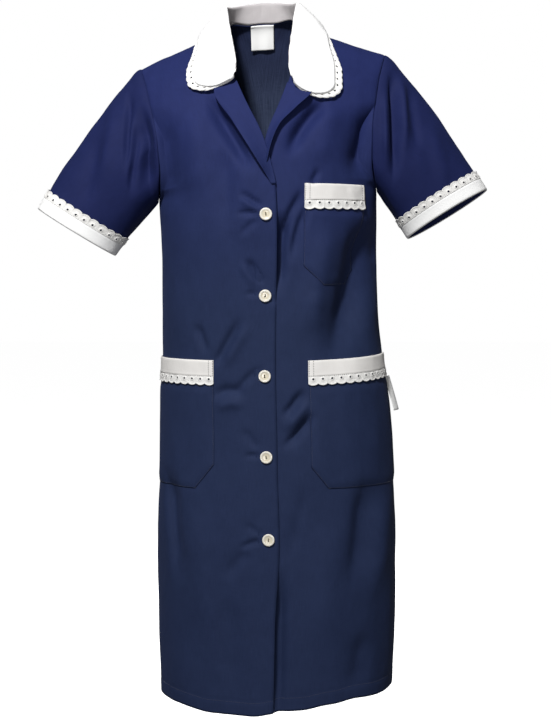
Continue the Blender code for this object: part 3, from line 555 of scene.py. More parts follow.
def cloth(name, grids, node, slot, materials, wall, closed=False, **said):
    """A cloth shell from grids of points, solidified inwards, with its lengths as a UV map."""
    points, faces, marks = [], [], []
    for grid in grids:
        rows, columns = grid.shape[:2]
        index = np.arange(rows * columns).reshape(rows, columns) + sum(len(p) for p in points)
        wide = grid
        if closed:
            wide, index = (np.concatenate([a, a[:, :1]], axis=1) for a in (grid, index))
        across = lengths(wide, 1)
        place = np.stack([across - across[:, [across.shape[1] // 2]], lengths(wide)], axis=-1)
        first, last = slice(None, -1), slice(1, None)
        corners = ((first, first), (first, last), (last, last), (last, first))
        faces.append(np.stack([index[c] for c in corners], axis=-1).reshape(-1, 4))
        marks.append(np.stack([place[c] for c in corners], axis=-2).reshape(-1, 2))
        points.append(grid.reshape(-1, 3))
    points, faces, marks = (np.concatenate(found) for found in (points, faces, marks))
    piece = new_object(name, points.tolist(), faces.tolist(), marks)
    if len(grids) > 1:
        piece.modifiers.new("centre line", "WELD").merge_threshold = 0.00005
    return finish_piece(piece, node, slot, *materials, wall=wall, **said)


def read_grid(grid, i, j):
    """A grid read at fractional row and column numbers."""
    rows, columns = grid.shape[:2]
    i, j = np.clip(i, 0, rows - 1.000001), np.clip(j, 0, columns - 1.000001)
    a, b = i.astype(int), j.astype(int)
    s, t = (i - a)[..., None], (j - b)[..., None]
    low = grid[a, b] * (1 - t) + grid[a, b + 1] * t
    high = grid[a + 1, b] * (1 - t) + grid[a + 1, b + 1] * t
    return low * (1 - s) + high * s


# --- materials
class Material:
    """A material with its nodes.  An input is linked where it is given a socket, and set otherwise."""

    def __init__(self, name):
        self.made = bpy.data.materials.new(name)
        self.made.use_nodes = True
        self.tree = self.made.node_tree

    def put(self, node, inputs):
        for key, value in inputs.items():
            socket = node.inputs[key]
            if isinstance(value, bpy.types.NodeSocket):
                self.tree.links.new(value, socket)
            elif socket.type == "RGBA":
                socket.default_value = (*value, 1.0)
            else:
                socket.default_value = value

    def add(self, kind, inputs, output=0, **settings):
        node = self.tree.nodes.new("ShaderNode" + kind)
        for key, value in settings.items():
            setattr(node, key, value)
        self.put(node, inputs)
        return node.outputs[output]

    def mapped(self, scale=(1.0, 1.0, 1.0), source="UV"):
        return self.add("Mapping", {"Vector": self.add("TexCoord", {}, source), "Scale": scale})

    def noise(self, vector, scale, detail, roughness=0.5):
        inputs = {"Vector": vector, "Scale": scale, "Detail": detail, "Roughness": roughness}
        return self.add("TexNoise", inputs, "Fac")

    def math(self, operation, first, second):
        return self.add("Math", {0: first, 1: second}, operation=operation)

    def total(self, start, *terms):
        """The sum of start and the other values, each times its weight."""
        for value, weight in terms:
            start = self.math("ADD", start, self.math("MULTIPLY", value, weight))
        return start

    def mix(self, factor, first, second, blend="MIX"):
        return self.add("Mix", {0: factor, 6: first, 7: second}, 2, data_type="RGBA", blend_type=blend)

    def painted_shade_by_height(self, color, low, high, between):
        """Painted light and shade from top to bottom: color times low below, and times high above."""
        split = self.add("SeparateXYZ", {0: self.add("TexCoord", {}, "Object")}, "Z")
        height = self.add("MapRange", {"Value": split, "From Min": between[0], "From Max": between[1]},
                          interpolation_type="SMOOTHSTEP")
        return self.mix(1.0, color, self.mix(height, low, high), "MULTIPLY")

    def finish(self, relief, bump, **surface):
        """Set the surface.  An input's name is given with _ for its spaces."""
        if bump:
            surface["Normal"] = self.add("Bump", {"Height": relief, "Distance": bump, "Strength": 1.0})
        inputs = {name.replace("_", " "): value for name, value in surface.items()}
        self.put(self.tree.nodes["Principled BSDF"], inputs)
        return self.made


def woven(name, color, streak, thread=0.00042, roughness=0.72, sheen=0.1, sheen_tint=(1.0, 1.0, 1.0),
          slub=0.35, relief=0.00006, specular=0.30, slub_size=(0.0005, 0.022), low=None,
          high=(0.97, 0.96, 1.06), between=(-0.50, -0.08)):
    """Plain-woven cloth: threads both ways, slubs along the warp, and a soft uneven tone; with low given,
    painted light and shade from top to bottom as well.
    """
    m = Material(name)
    millimetre = 1000.0
    base = m.mapped((millimetre, millimetre, millimetre))
    threads = [m.add("TexWave", {"Vector": base, "Scale": 2 * math.pi / 20 / (thread * millimetre),
                                 "Distortion": 1.2, "Detail": 1.0, "Detail Scale": 0.5}, "Fac",
                     bands_direction=direction) for direction in "XY"]
    weave = m.math("MULTIPLY", *threads)
    slubs = m.noise(m.mapped((1 / slub_size[0], 1 / slub_size[1], 1.0)), 1.0, 3.0, 0.6)
    cross = m.noise(m.mapped((60.0, 1700.0, 1.0)), 1.0, 3.0, 0.6)
    tone = m.noise(m.mapped(source="Object"), 38.0, 6.0, 0.62)
    streaks = m.total(m.math("MULTIPLY", slubs, 0.65), (cross, 0.35))
    ramp = m.add("MapRange", {"Value": streaks, "From Min": 0.32, "From Max": 0.68})
    dye_and_painted_shade = m.mix(m.total(m.math("MULTIPLY", ramp, slub), (tone, 0.45), (weave, 0.20)), color, streak)
    if low:
        dye_and_painted_shade = m.painted_shade_by_height(dye_and_painted_shade, low, high, between)
    return m.finish(m.total(weave, (streaks, 0.9)), relief, Base_Color=dye_and_painted_shade,
                    Roughness=m.total(roughness - 0.06, (streaks, 0.12)), Sheen_Weight=sheen,
                    Sheen_Roughness=0.45, Sheen_Tint=sheen_tint, Specular_IOR_Level=specular)


def thread_material(name, color):
    """Sewing thread: a twist along each stitch and a soft shine."""
    m = Material(name)
    twist = m.noise(m.mapped(source="Object"), 2600.0, 2.0)
    return m.finish(twist, 0.00008, Base_Color=m.mix(twist, tuple(c * 0.72 for c in color), color),
                    Roughness=0.5, Sheen_Weight=0.2)


def resin(name, color, centre):
    """Cream polished resin, a little yellower in the dish and faintly clouded."""
    m = Material(name)
    place = m.add("TexCoord", {}, "Object")
    flat = m.add("Mapping", {"Vector": place, "Scale": (1.0, 1.0, 0.0)})
    radius = m.add("VectorMath", {0: flat}, "Value", operation="LENGTH")
    dish = m.add("MapRange", {"Value": radius, "From Min": BUTTON_RADIUS * 0.55,
                              "From Max": BUTTON_RADIUS * 0.80})
    cloud = m.noise(place, 260.0, 3.0)
    rim = m.mix(cloud, color, tuple(min(1.0, c * 1.08) for c in color))
    return m.finish(cloud, 0.00004, Base_Color=m.mix(dish, centre, rim), Roughness=0.28, Coat_Weight=0.3,
                    Subsurface_Weight=0.08, Subsurface_Radius=(0.002, 0.0015, 0.001))


def plain(name, color, roughness):
    """The floor: a matt pale surface with the faintest grain."""
    m = Material(name)
    grain = m.noise(m.mapped(source="Object"), 3.0, 3.0)
    return m.finish(None, None, Base_Color=m.mix(grain, tuple(c * 0.985 for c in color), color),
                    Roughness=roughness, Emission_Color=(1.0, 1.0, 1.0), Emission_Strength=FLOOR_GLOW)


# Painted light: the navy is bluer above and greyer and less blue on the skirt, as the light from above
# falls off downwards.
NAVY = woven("navy_poplin", (0.0062, 0.0108, 0.0500), (0.0158, 0.0242, 0.0980), sheen=0.03,
             sheen_tint=(0.25, 0.38, 1.0), slub=0.60, specular=0.12, low=(1.16, 1.22, 0.80))
# Painted shade: the inside of the back darkens towards the neck, in the shade of the collar and the back's
# top.
NAVY_INSIDE = woven("navy_poplin_inside", (0.0042, 0.0078, 0.0240), (0.0400, 0.0540, 0.0960), sheen=0.08,
                    sheen_tint=(0.40, 0.50, 1.0), slub=0.95, specular=0.10, slub_size=(0.0014, 0.045),
                    low=(0.95, 0.95, 1.0), high=(0.40, 0.42, 0.60), between=(-0.140, 0.000))
WHITE = woven("white_poplin", (0.80, 0.80, 0.80), (0.90, 0.90, 0.89), roughness=0.8)
BAND_WHITE = woven("band_white_poplin", (0.62, 0.60, 0.58), (0.76, 0.745, 0.725), slub=0.40, roughness=0.82)
# Painted shade: the collar's stand, seen inside the neck, is the leaves' white cloth made greyer.
STAND_WHITE_PAINTED_SHADE = woven("stand_white_poplin_painted_shade", (0.39, 0.37, 0.375), (0.52, 0.49, 0.495), slub=0.40,
                    roughness=0.82)
LACE = woven("lace_cotton", (0.70, 0.69, 0.67), (0.88, 0.87, 0.85), thread=0.00032, slub=0.45, sheen=0.15,
             roughness=0.85, relief=0.00012)
COLLAR_LACE_WHITE = woven("collar_lace_cotton", (0.78, 0.77, 0.75), (0.92, 0.91, 0.89), thread=0.00032,
                          slub=0.40, roughness=0.85, relief=0.00008)
# Painted shade: the sleeves are the navy poplin made darker and bluer, for the shade on them.
NAVY_SLEEVE_PAINTED_SHADE = woven("navy_poplin_sleeves_painted_shade", (0.0046, 0.0082, 0.0410), (0.0112, 0.0170, 0.0800), sheen=0.03,
                    sheen_tint=(0.25, 0.38, 1.0), slub=0.55, specular=0.11)
SATIN = woven("label_satin", (0.74, 0.74, 0.73), (0.88, 0.88, 0.87), thread=0.00028, roughness=0.42,
              slub=0.3, specular=0.5, relief=0.00003)
NAVY_THREAD = thread_material("navy_thread", (0.016, 0.022, 0.060))
WHITE_THREAD = thread_material("white_thread", (0.66, 0.65, 0.63))
BAND_THREAD = thread_material("band_thread", (0.075, 0.068, 0.066))
BUTTON_THREAD = thread_material("button_thread", (0.105, 0.085, 0.040))
RESIN = resin("button_resin", (0.66, 0.63, 0.56), (0.60, 0.545, 0.42))


# --- stitching
def tube_faces(start, stop, sides):
    """Faces between rings of points, from the ring that begins at start to the one at stop."""
    return [(ring + k, ring + (k + 1) % sides, ring + sides + (k + 1) % sides, ring + sides + k)
            for ring in range(start, stop, sides) for k in range(sides)]


def stitch_shape():
    """One stitch along +X, 1 long, with unit radius: a thread that dives in at both ends."""
    rings = ((-0.5, 0.25, -1.2), (-0.36, 0.9, 0.1), (-0.12, 1.0, 0.7), (0.12, 1.0, 0.7), (0.36, 0.9, 0.1),
             (0.5, 0.25, -1.2))
    sides = 6
    angles = [2 * math.pi * k / sides for k in range(sides)]
    points = [(x, radius * math.cos(a), lift + radius * math.sin(a))
              for x, radius, lift in rings for a in angles]
    last = len(points) - sides
    caps = [tuple(range(sides))[::-1], tuple(range(last, len(points)))]
    return np.array(points), tube_faces(0, last, sides) + caps


def stitching(name, lines, slot, material, length=STITCH_LENGTH, gap=STITCH_GAP, radius=STITCH_RADIUS):
    """Rows of stitches along lines of (points, outward directions)."""
    shape, shape_faces = stitch_shape()
    local = shape * (length, radius, radius)
    points, faces = [], []
    for line, normals in lines:
        at = lengths(line)
        count = max(1, int(at[-1] / (length + gap)))
        centres = (np.arange(count) + 0.5) * at[-1] / count

        def read(values, where):
            return np.stack([np.interp(where, at, values[:, k]) for k in range(3)], axis=-1)

        forward = unit(read(line, centres + length / 2) - read(line, centres - length / 2))
        up = read(normals, centres)
        up = unit(up - forward * np.sum(up * forward, axis=-1, keepdims=True))
        made = (read(line, centres)[:, None] + local[None, :, :1] * forward[:, None]
                + local[None, :, 1:2] * np.cross(up, forward)[:, None] + local[None, :, 2:] * up[:, None])
        for block in made:
            faces.extend([tuple(len(points) + k for k in face) for face in shape_faces])
            points.extend(block.tolist())
    finish_piece(new_object(name, points, faces), None, slot, material)


def line_down(grid, distance, from_last=False):
    """The line up a grid at a distance from its first (or last) column, with its normals."""
    across = lengths(grid, 1)
    out = []
    for source in (grid, grid_normals(grid)):
        out.append(np.array([[np.interp(row[-1] - distance if from_last else distance, row, values[:, k])
                              for k in range(3)] for row, values in zip(across, source)]))
    return tuple(out)


def line_across(grid, distance, from_last=False, closed=False):
    """The line across a grid at a distance from its first (or last) row, with its normals."""
    turned = grid.transpose(1, 0, 2)
    if closed:
        turned = np.concatenate([turned, turned[:1]])
    line, normals = line_down(turned, distance, from_last)
    return line, -normals


def trim_line(line, start, stop):
    """A line without its first and last lengths."""
    points, normals = line
    at = lengths(points)
    keep = (at >= start) & (at <= at[-1] - stop)
    return points[keep], normals[keep]


# --- lace
# Of each edging: the pitch of its eyelets, how far in they are, the depth of its scallops, its cloth.
EDGING = (0.0150, 0.0045, 0.0026, LACE)
COLLAR_EDGING = (0.0112, 0.0068, 0.0013, COLLAR_LACE_WHITE)
# The points of a scallop's outline that it shares with its neighbours.
LAST_SIDE = SCALLOP_SIDE + SCALLOP_LONG
JOINED = {*range(SCALLOP_SIDE + 1), *range(LAST_SIDE, LAST_SIDE + SCALLOP_SIDE + 1)}


def scallop_reach(along, width, depth):
    """How far out the edge is, for shares of the way along a scallop."""
    return width - depth * np.abs(2 * along - 1) ** 2.2


def scallop_outline(pitch, width, depth):
    """One scallop's outline, going round from the first corner of its sewn side."""
    side, long = np.arange(SCALLOP_SIDE) / SCALLOP_SIDE, np.arange(SCALLOP_LONG) / SCALLOP_LONG
    along = np.concatenate([0 * side, long, 0 * side + 1, 1 - long])
    out = np.concatenate([side, 0 * long + 1, 1 - side, 0 * long])
    return np.stack([along * pitch, out * scallop_reach(along, width, depth)], axis=-1)


def lace(name, node, strip, below, edging=EDGING, hangs=True, closed=False):
    """Eyelet lace along a strip of points: columns along it, rows across it from its sewn side.

    Each scallop is one cell of mesh round its open eyelet, with a raised ring and a raised rim.
    """
    pitch, centre_in, depth, material = edging
    along = strip.transpose(1, 0, 2)
    if closed:
        along = np.concatenate([along, along[:1]])
    width = float(np.mean(np.linalg.norm(along[:, -1] - along[:, 0], axis=-1)))
    length = lengths(along[:, along.shape[1] // 2])
    count = round(length[-1] / pitch)
    pitch = length[-1] / count
    outline = scallop_outline(pitch, width, depth)
    centre = np.array([pitch / 2, centre_in])
    away = unit(outline - centre)
    radii = (EYELET_HOLE, EYELET_HOLE + 0.0003, 0.0024, EYELET_RING - 0.0003, EYELET_RING)
    cell = [centre + away * radius for radius in radii]
    cell += [centre + away * EYELET_RING + (outline - centre - away * EYELET_RING) * share
             for share in (0.30, 0.55, 0.76, 0.88, 1.0)]
    cell = np.array(cell)
    across = cell[..., 1]
    radius = np.linalg.norm(cell - centre, axis=-1)
    ring = RING_HEIGHT * np.clip(1 - ((radius - 0.0022) / 0.0010) ** 2, 0.0, 1.0)
    inside_edge = scallop_reach(cell[..., 0] / pitch, width, depth) - across
    rim = RIM_HEIGHT * smooth((RIM_WIDTH - inside_edge) / 0.0006)
    height = ring + rim - 0.0002 * bell(across - 0.0012, 0.0006)
    normals = unit(np.cross(np.gradient(along, axis=0), np.gradient(along, axis=1))) * (-1 if hangs else 1)
    rings, sides = across.shape
    index, points, faces, marks = {}, [], [], []
    for number in range(count):
        u = cell[..., 0] + number * pitch
        i = np.interp(u, length, np.arange(len(length)))
        j = across / width * (along.shape[1] - 1)
        wobble = 0.0003 * math.sin(number * 2.4)
        out = unit(read_grid(normals, i, j)) * (height + wobble * across / width)[..., None]
        place = read_grid(along, i, j) + out
        mark = np.stack([u, across], axis=-1)
        ids = np.zeros((rings, sides), int)
        for a, b in np.ndindex(rings, sides):
            shared = a == rings - 1 and b in JOINED
            key = tuple(np.round(place[a, b], 5)) if shared else (number, a, b)
            if key not in index:
                index[key] = len(points)
                points.append(place[a, b])
            ids[a, b] = index[key]
        for a, b in np.ndindex(rings - 1, sides):
            c = (b + 1) % sides
            corners = ((a, b), (a + 1, b), (a + 1, c), (a, c))
            faces.append([ids[corner] for corner in corners])
            marks.extend(mark[corner] for corner in corners)
    piece = new_object(name, np.array(points).tolist(), np.array(faces).tolist(), np.array(marks))
    if hangs:
        piece.data.flip_normals()
    solid_share = 0.9  # the rest is holes and the gaps between scallops
    finish_piece(piece, node, "lace", material, wall=LACE_WALL, flat=(width, float(length[-1])),
                 held="laid", rests_on=[below], area=width * length[-1] * solid_share)


# --- panels
def seam_dip(distance, depth=0.0011, width=0.0020):
    """A seam pulls the cloth in."""
    return -depth * bell(distance, width)


def hem_fold(up):
    """The hem's turned-up cloth stands out a little, below a groove of stitches."""
    return 0.0003 * smooth((0.021 - up) / 0.002) - 0.0005 * bell(up - 0.0215, 0.0015)


def hem_wave(points):
    """The hem isn't quite level: lower at the wearer's right, higher at the left."""
    x, y, z = np.moveaxis(points, -1, 0)
    places = (-0.20, -0.165, -0.120, -0.060, 0.000, 0.060, 0.120, 0.165, 0.20)
    rises = (0.000, 0.000, -0.0030, -0.0045, 0.000, 0.0035, 0.0055, 0.0030, 0.000)
    uneven = [0.0026 * noise.noise(Vector((p / 0.038, 0.0, 0.0))) for p in x.ravel()]
    rise = flow(places, rises, x) + np.array(uneven).reshape(x.shape)
    rise = smooth((-0.93 - z) / 0.13) * smooth(0.5 - y / 0.12) * rise
    return np.stack([x, y, z + rise], axis=-1)


def make_front(side):
    dense = np.linspace(0.0, V_SHOULDER - 0.0005, 1200)
    levels = even(dense, body_point(side * 0.5, dense), BODY_STEP)[:, None]
    first = around_at(body("edge_x", levels), levels)
    around = first + (SIDE_SEAM - first) * np.linspace(0.0, 1.0, round(PANEL_HALF / BODY_STEP) + 1)
    grid, normals = front_surface(side, around, levels)
    across, up = lengths(grid, 1), lengths(grid)
    fold = 0.0004 * smooth((0.030 - across) / 0.003) * (levels < V_FRONT_UNDERARM - 0.4)
    out = seam_dip(across[:, -1:] - across) + seam_dip(up[-1:] - up) + hem_fold(up) + fold
    grid = hem_wave(grid + normals * out[..., None])
    if side < 0:
        grid = grid[:, ::-1]
    name = "front_" + side_name(side)
    nodes = [name + "_" + level for level in PANEL_LEVELS]
    cloth(name + "_cloth", [grid], nodes, "navy_cloth", (NAVY,), CLOTH_WALL, flat=(0.33, 1.12), held="hung",
          area=0.275)
    stitching(name + "_hem_stitches", [line_across(grid, HEM_STITCHES)], "navy_cloth", NAVY_THREAD)


def back_edge(v):
    """Level x of the back's neckline."""
    return NECK_HALF * np.sqrt(np.maximum(0.0, 1.0 - np.clip(v - V_SHOULDER, 0.0, 1.0) ** 2))


def make_back():
    dense = np.linspace(V_NECK, V_END, 1200)
    neck = V_SHOULDER + np.sin(np.linspace(0.0005, math.pi / 2, 26)[:-1])
    levels = np.concatenate([neck, even(dense, body_point(0.5, dense), BACK_STEP)])[:, None]
    first = around_at(back_edge(levels), levels)
    around = first + (SIDE_SEAM - first) * np.linspace(0.0, 1.0, round(PANEL_HALF / BACK_STEP) + 1)
    halves = []
    for side in (-1, 1):
        base, normals = body_point(side * around, levels), body_normal(side * around, levels)
        across, down = lengths(base, 1), lengths(base)
        out = creases("back", base) * smooth((1.0 - around) / 0.10) + ripples(base)
        out += seam_dip(across[:, -1:] - across) + seam_dip(down)
        out += hem_fold(down[-1:] - down)
        grid = base + normals * out[..., None]
        halves.append(grid[:, ::-1] if side < 0 else grid)
    nodes = ["back_" + level for level in PANEL_LEVELS]
    cloth("back_cloth", halves, nodes, "navy_cloth", (NAVY, NAVY_INSIDE), CLOTH_WALL, flat=(0.60, 1.12),
          held="hung", area=0.53)
    lines = [line_across(half, HEM_STITCHES, from_last=True) for half in halves]
    stitching("back_hem_stitches", lines, "navy_cloth", NAVY_THREAD)


# --- lapels
def make_lapel(side, rows, most_lift, flat, area):
    """A turned-back lapel: it rolls over the front's edge, lies flat and lifts at its free edge."""
    foot, head = rows["z"][0], rows["z"][-1]
    z = np.linspace(foot, head, 64)[:, None]
    free = flow(rows["z"], rows["free_x"], z)
    roll = body("edge_x", find(np.maximum(free, 0.0) / 2, z)[1])
    width = free - roll
    share = np.linspace(0.0, 1.0, 30)[None, :]
    around, v = find(roll + width * share, z)
    height = smooth((z - foot) / 0.03)
    free_lift = most_lift * (1.0 - 0.55 * smooth((z - (head - 0.03)) / 0.03))
    lift = (0.0019 + free_lift * share ** 2 * height + LAPEL_BULGE * width * np.sin(math.pi * share)
            + 0.0006 * np.sin(z * 90.0) * share)
    points, normals = front_surface(side, around, v, lift)
    edge, outward = points[:, :1], normals[:, :1]
    inward = unit(points[:, 1:2] - edge)
    turn = np.linspace(math.pi * 0.95, 0.0, 8)[:-1][None, :, None]
    radius = 0.0014
    wrap = edge - outward * radius - inward * radius * np.sin(turn) + outward * radius * np.cos(turn)
    grid = np.concatenate([wrap, points], axis=1)
    if side < 0:
        grid = grid[:, ::-1]
    name = "lapel_" + side_name(side)
    cloth(name + "_cloth", [grid], name, "navy_cloth", (NAVY,), CLOTH_WALL, flat=flat, held="folded",
          rests_on=["front_" + side_name(side) + "_cloth"], area=area)


# --- collar
def neck_seam(s):
    """The foot of the collar, from the centre back (0) to the front end (1), level frame."""
    back = V_SHOULDER + np.cos(np.minimum(s / COLLAR_BACK_SHARE, 1.0) * math.pi / 2)
    front = V_SHOULDER - COLLAR_FRONT_V * (s - COLLAR_BACK_SHARE) / (1.0 - COLLAR_BACK_SHARE)
    v = np.where(s <= COLLAR_BACK_SHARE, back, front)
    x = np.where(s <= COLLAR_BACK_SHARE, back_edge(v), body("edge_x", v))
    return level_point(around_at(x, v), v)


class CollarSide:
    """Half of the collar in the level frame, +X side, at places s along its neck seam."""

    def __init__(self, rows, s):
        at = np.linspace(0.0, 1.0, len(rows["face"]))
        places = zip(rows["edge_x"], rows["edge_z"], rows["face"])
        edge_v = [float(find(x, z, face)[1]) for x, z, face in places]
        fold = np.stack([flow(at, rows["fold_" + axis], s) for axis in "xyz"], axis=-1)
        v = flow(at, edge_v, s)
        around = around_at(flow(at, rows["edge_x"], s), v)
        lift = flow(at, rows["lift"], s)[:, None]
        self.edge = level_point(around, v) + body_normal(around, v, level_point) * lift
        self.seam = neck_seam(s)
        leaf, down = unit(self.edge - fold), unit(self.seam - fold)
        dot = np.sum(down * leaf, axis=-1, keepdims=True)
        self.out_leaf = -unit(down - leaf * dot)
        self.out_stand = -unit(leaf - down * dot)
        self.top = -unit(leaf + down)
        self.middle = fold - self.top * COLLAR_FOLD_RADIUS
        self.start = self.middle + self.out_leaf * COLLAR_FOLD_RADIUS
        self.stand_start = self.middle + self.out_stand * COLLAR_FOLD_RADIUS
        self.length = np.linalg.norm(self.edge - self.start, axis=-1)

    def leaf(self, from_edge):
        """Points of the leaf at distances from its outer edge (one for each place)."""
        share = (1.0 - np.clip(from_edge / self.length, 0.0, 1.0))[:, None]
        bulge = COLLAR_BULGE * self.length[:, None] * np.sin(math.pi * share)
        return self.start + (self.edge - self.start) * share + self.out_leaf * bulge

    def fold(self, first, last):
        """Points round half of the fold, from after the first direction to the last one."""
        shares = np.linspace(0.0, 1.0, FOLD_ROWS // 2 + 1)[1:]
        return [self.middle + unit(first * (1 - k) + last * k) * COLLAR_FOLD_RADIUS for k in shares]


def collar_waves(points):
    """Small uneven waves of the double collar."""
    return (waves(points, 0.030, 0.0010) + waves(points, 0.010, 0.0004))[..., None]


def make_collar():
    leaves, strips = [], []
    for side, rows in ((-1, COLLAR_RIGHT), (1, COLLAR_LEFT)):
        fine = np.linspace(0.0, 1.0, 600)
        part = CollarSide(rows, even(fine, CollarSide(rows, fine).edge, TRIM_STEP))
        band = np.minimum(COLLAR_LACE, 0.55 * part.length)
        foot = part.seam + unit(part.stand_start - part.seam) * COLLAR_FOOT
        stand_shares = np.linspace(0.0, 1.0, STAND_ROWS + 1)[1:]
        bare = band * 0.86
        lines = [part.leaf(bare + (part.length - bare) * k) for k in np.linspace(0.0, 1.0, LEAF_ROWS)]
        lines += part.fold(part.out_leaf, part.top) + part.fold(part.top, part.out_stand)
        lines += [part.stand_start + (foot - part.stand_start) * k for k in stand_shares]
        strip = [part.leaf(band * k) - part.out_leaf * 0.0004 for k in np.linspace(1.0, 0.0, 7)]
        order = slice(None, None, -1) if side < 0 else slice(1, None)
        for halves, half in ((leaves, lines), (strips, strip)):
            halves.append(stand(np.array(half) * (side, 1.0, 1.0))[:, order])
    grid, strip = np.concatenate(leaves, axis=1), np.concatenate(strips, axis=1)
    grid = grid + grid_normals(grid) * collar_waves(grid)
    strip = strip + grid_normals(strip[::-1])[::-1] * collar_waves(strip)
    below = ["front_left_cloth", "front_right_cloth", "back_cloth"]
    piece = cloth("collar_cloth", [grid], "collar", "white_cloth", (WHITE,), DOUBLE_WALL,
                  flat=(0.60, 0.13), held="folded", rests_on=below, area=0.052)
    # The stand has the leaves' white cloth darkened by about half: painted shade inside the collar.
    piece.data.materials.append(STAND_WHITE_PAINTED_SHADE)
    for face in piece.data.polygons[(LEAF_ROWS + FOLD_ROWS // 2) * (grid.shape[1] - 1):]:
        face.material_index = 1
    stitching("collar_stitches", [line_across(grid, EDGE_STITCHES)], "white_cloth", WHITE_THREAD)
    lace("collar_lace_strip", "collar_lace", strip, "front_left_cloth", COLLAR_EDGING)


# --- pockets
def pocket_grid(side, rows, step, lift):
    """A fine grid of a piece that lies on a front, from its foot up and towards +X."""
    columns = [np.array(column) for column in zip(*rows)]
    to_seam = rows[0][2] >= SEAM_X
    down = np.append(0.0, np.cumsum(np.abs(np.diff(columns[1]))))
    count = max(3, round(abs(rows[-1][1] - rows[0][1]) / step) + 1)
    at = np.linspace(1.0, 0.0, count)[:, None] * down[-1]
    inner_x, inner_z, outer_x, outer_z = (np.interp(at, down, column) for column in columns)
    across = np.linspace(0.0, 1.0, round((0.15 if to_seam else 0.10) / step) + 1)[None, :]
    first = find(inner_x, inner_z)[0]
    last = 1.0 - POCKET_SEAM if to_seam else find(outer_x, outer_z)[0]
    around, z = first + (last - first) * across, inner_z + (outer_z - inner_z) * across
    around, v = find(around, z, as_around=True)
    points, normals = front_surface(side, around, v, lift)
    return (points[:, ::-1], normals[:, ::-1]) if side < 0 else (points, normals)


def edges(grid, side, to_seam):
    """Distances from the inner edge, the outer edge, the foot, and the nearest of those not in a seam."""
    left, up = lengths(grid, 1), lengths(grid)
    right = left[:, -1:] - left
    inner, outer = (left, right) if side > 0 else (right, left)
    near = np.minimum(inner, up)
    return inner, outer, up, near if to_seam else np.minimum(near, outer)


def rounding(near, reach):
    """How far a doubled band's face falls back near its edges."""
    return 0.0009 * (1.0 - np.sqrt(np.clip(near / reach, 0.0, 1.0)))


def make_pocket(name, side, rows, band_rows):
    """A patch pocket, the doubled band along its mouth and the lace that hangs below the band."""
    to_seam = rows[0][2] >= SEAM_X
    band_name, lace_name = name.replace("pocket", "band"), name.replace("pocket", "lace")

    def sewn(grid, inner, across, outer):
        """Lines along the inner edge, one across, and lines along an outer edge that isn't in a seam."""
        lines = [line_down(grid, distance, side < 0) for distance in inner] + [across]
        return lines + [line_down(grid, distance, side > 0) for distance in outer if not to_seam]

    grid, normals = pocket_grid(side, rows, POCKET_STEP, POCKET_LIFT)
    inner, outer, up, near = edges(grid, side, to_seam)
    below_lace = smooth((up[-1:] - up - 0.026) / 0.014)
    puffed = 0.0014 * smooth(near / 0.014) * below_lace - 0.0006 * smooth(1.0 - near / 0.0012)
    groove = -0.0005 * bell(near - EDGE_STITCHES, 0.0008)
    grid = grid + normals * (puffed + groove)[..., None]
    cloth(name + "_cloth", [grid], name, "navy_cloth", (NAVY,), CLOTH_WALL, held="laid",
          rests_on=["front_" + side_name(side) + "_cloth"], **flat_size(grid))
    lines = sewn(grid, [EDGE_STITCHES], line_across(grid, EDGE_STITCHES), [EDGE_STITCHES])
    stitching(name + "_stitches", lines, "navy_cloth", NAVY_THREAD)

    band, normals = pocket_grid(side, band_rows, BAND_STEP, BAND_LIFT)
    inner, outer, up, near = edges(band, side, to_seam)
    near = np.minimum(near, up[-1:] - up)
    seams = -0.0005 * bell(inner - BAND_SEAMS[0], 0.0007) - 0.0003 * bell(inner - BAND_SEAMS[1], 0.0006)
    seams += 0.0004 * bell(up - 0.0022, 0.0011)
    crumpled = waves(band, 0.016, 0.0005)
    if not to_seam:
        seams += -0.0005 * bell(outer - BAND_END_SEAMS[0], 0.0007)
        crumpled = crumpled * (1.0 + 2.2 * smooth((inner - 0.055) / 0.020))
    band = band + normals * (-rounding(near, 0.0016) + seams + crumpled)[..., None]
    cloth(band_name + "_cloth", [band], band_name, "white_cloth", (BAND_WHITE,), DOUBLE_WALL, held="laid",
          rests_on=[name + "_cloth"], **flat_size(band))
    across = trim_line(line_across(band, 0.0012), 0.001, 0.001)
    lines = sewn(band, BAND_SEAMS, across, BAND_END_SEAMS)
    stitching(band_name + "_stitches", lines, "white_cloth", BAND_THREAD, radius=0.00042)

    inner_x, inner_z, outer_x, outer_z = band_rows[-1]
    tuck = 0.0010
    lace_rows = [(inner_x, inner_z + up, outer_x, outer_z + up) for up in (tuck, -POCKET_LACE)]
    strip, normals = pocket_grid(side, lace_rows, TRIM_STEP, LACE_LIFT)
    strip = strip + normals * waves(strip, 0.012, 0.0006)[..., None]
    lace(lace_name + "_strip", lace_name, strip[::-1], name + "_cloth")


# --- sleeves
def armhole(share):
    """The v of a place round the armhole: 0 at the shoulder, then the front, 0.5 at the underarm."""
    if share <= 0.5:
        return V_SHOULDER + (V_FRONT_UNDERARM - V_SHOULDER) * share * 2
    return V_BACK_UNDERARM + (V_SHOULDER - V_BACK_UNDERARM) * (share - 0.5) * 2


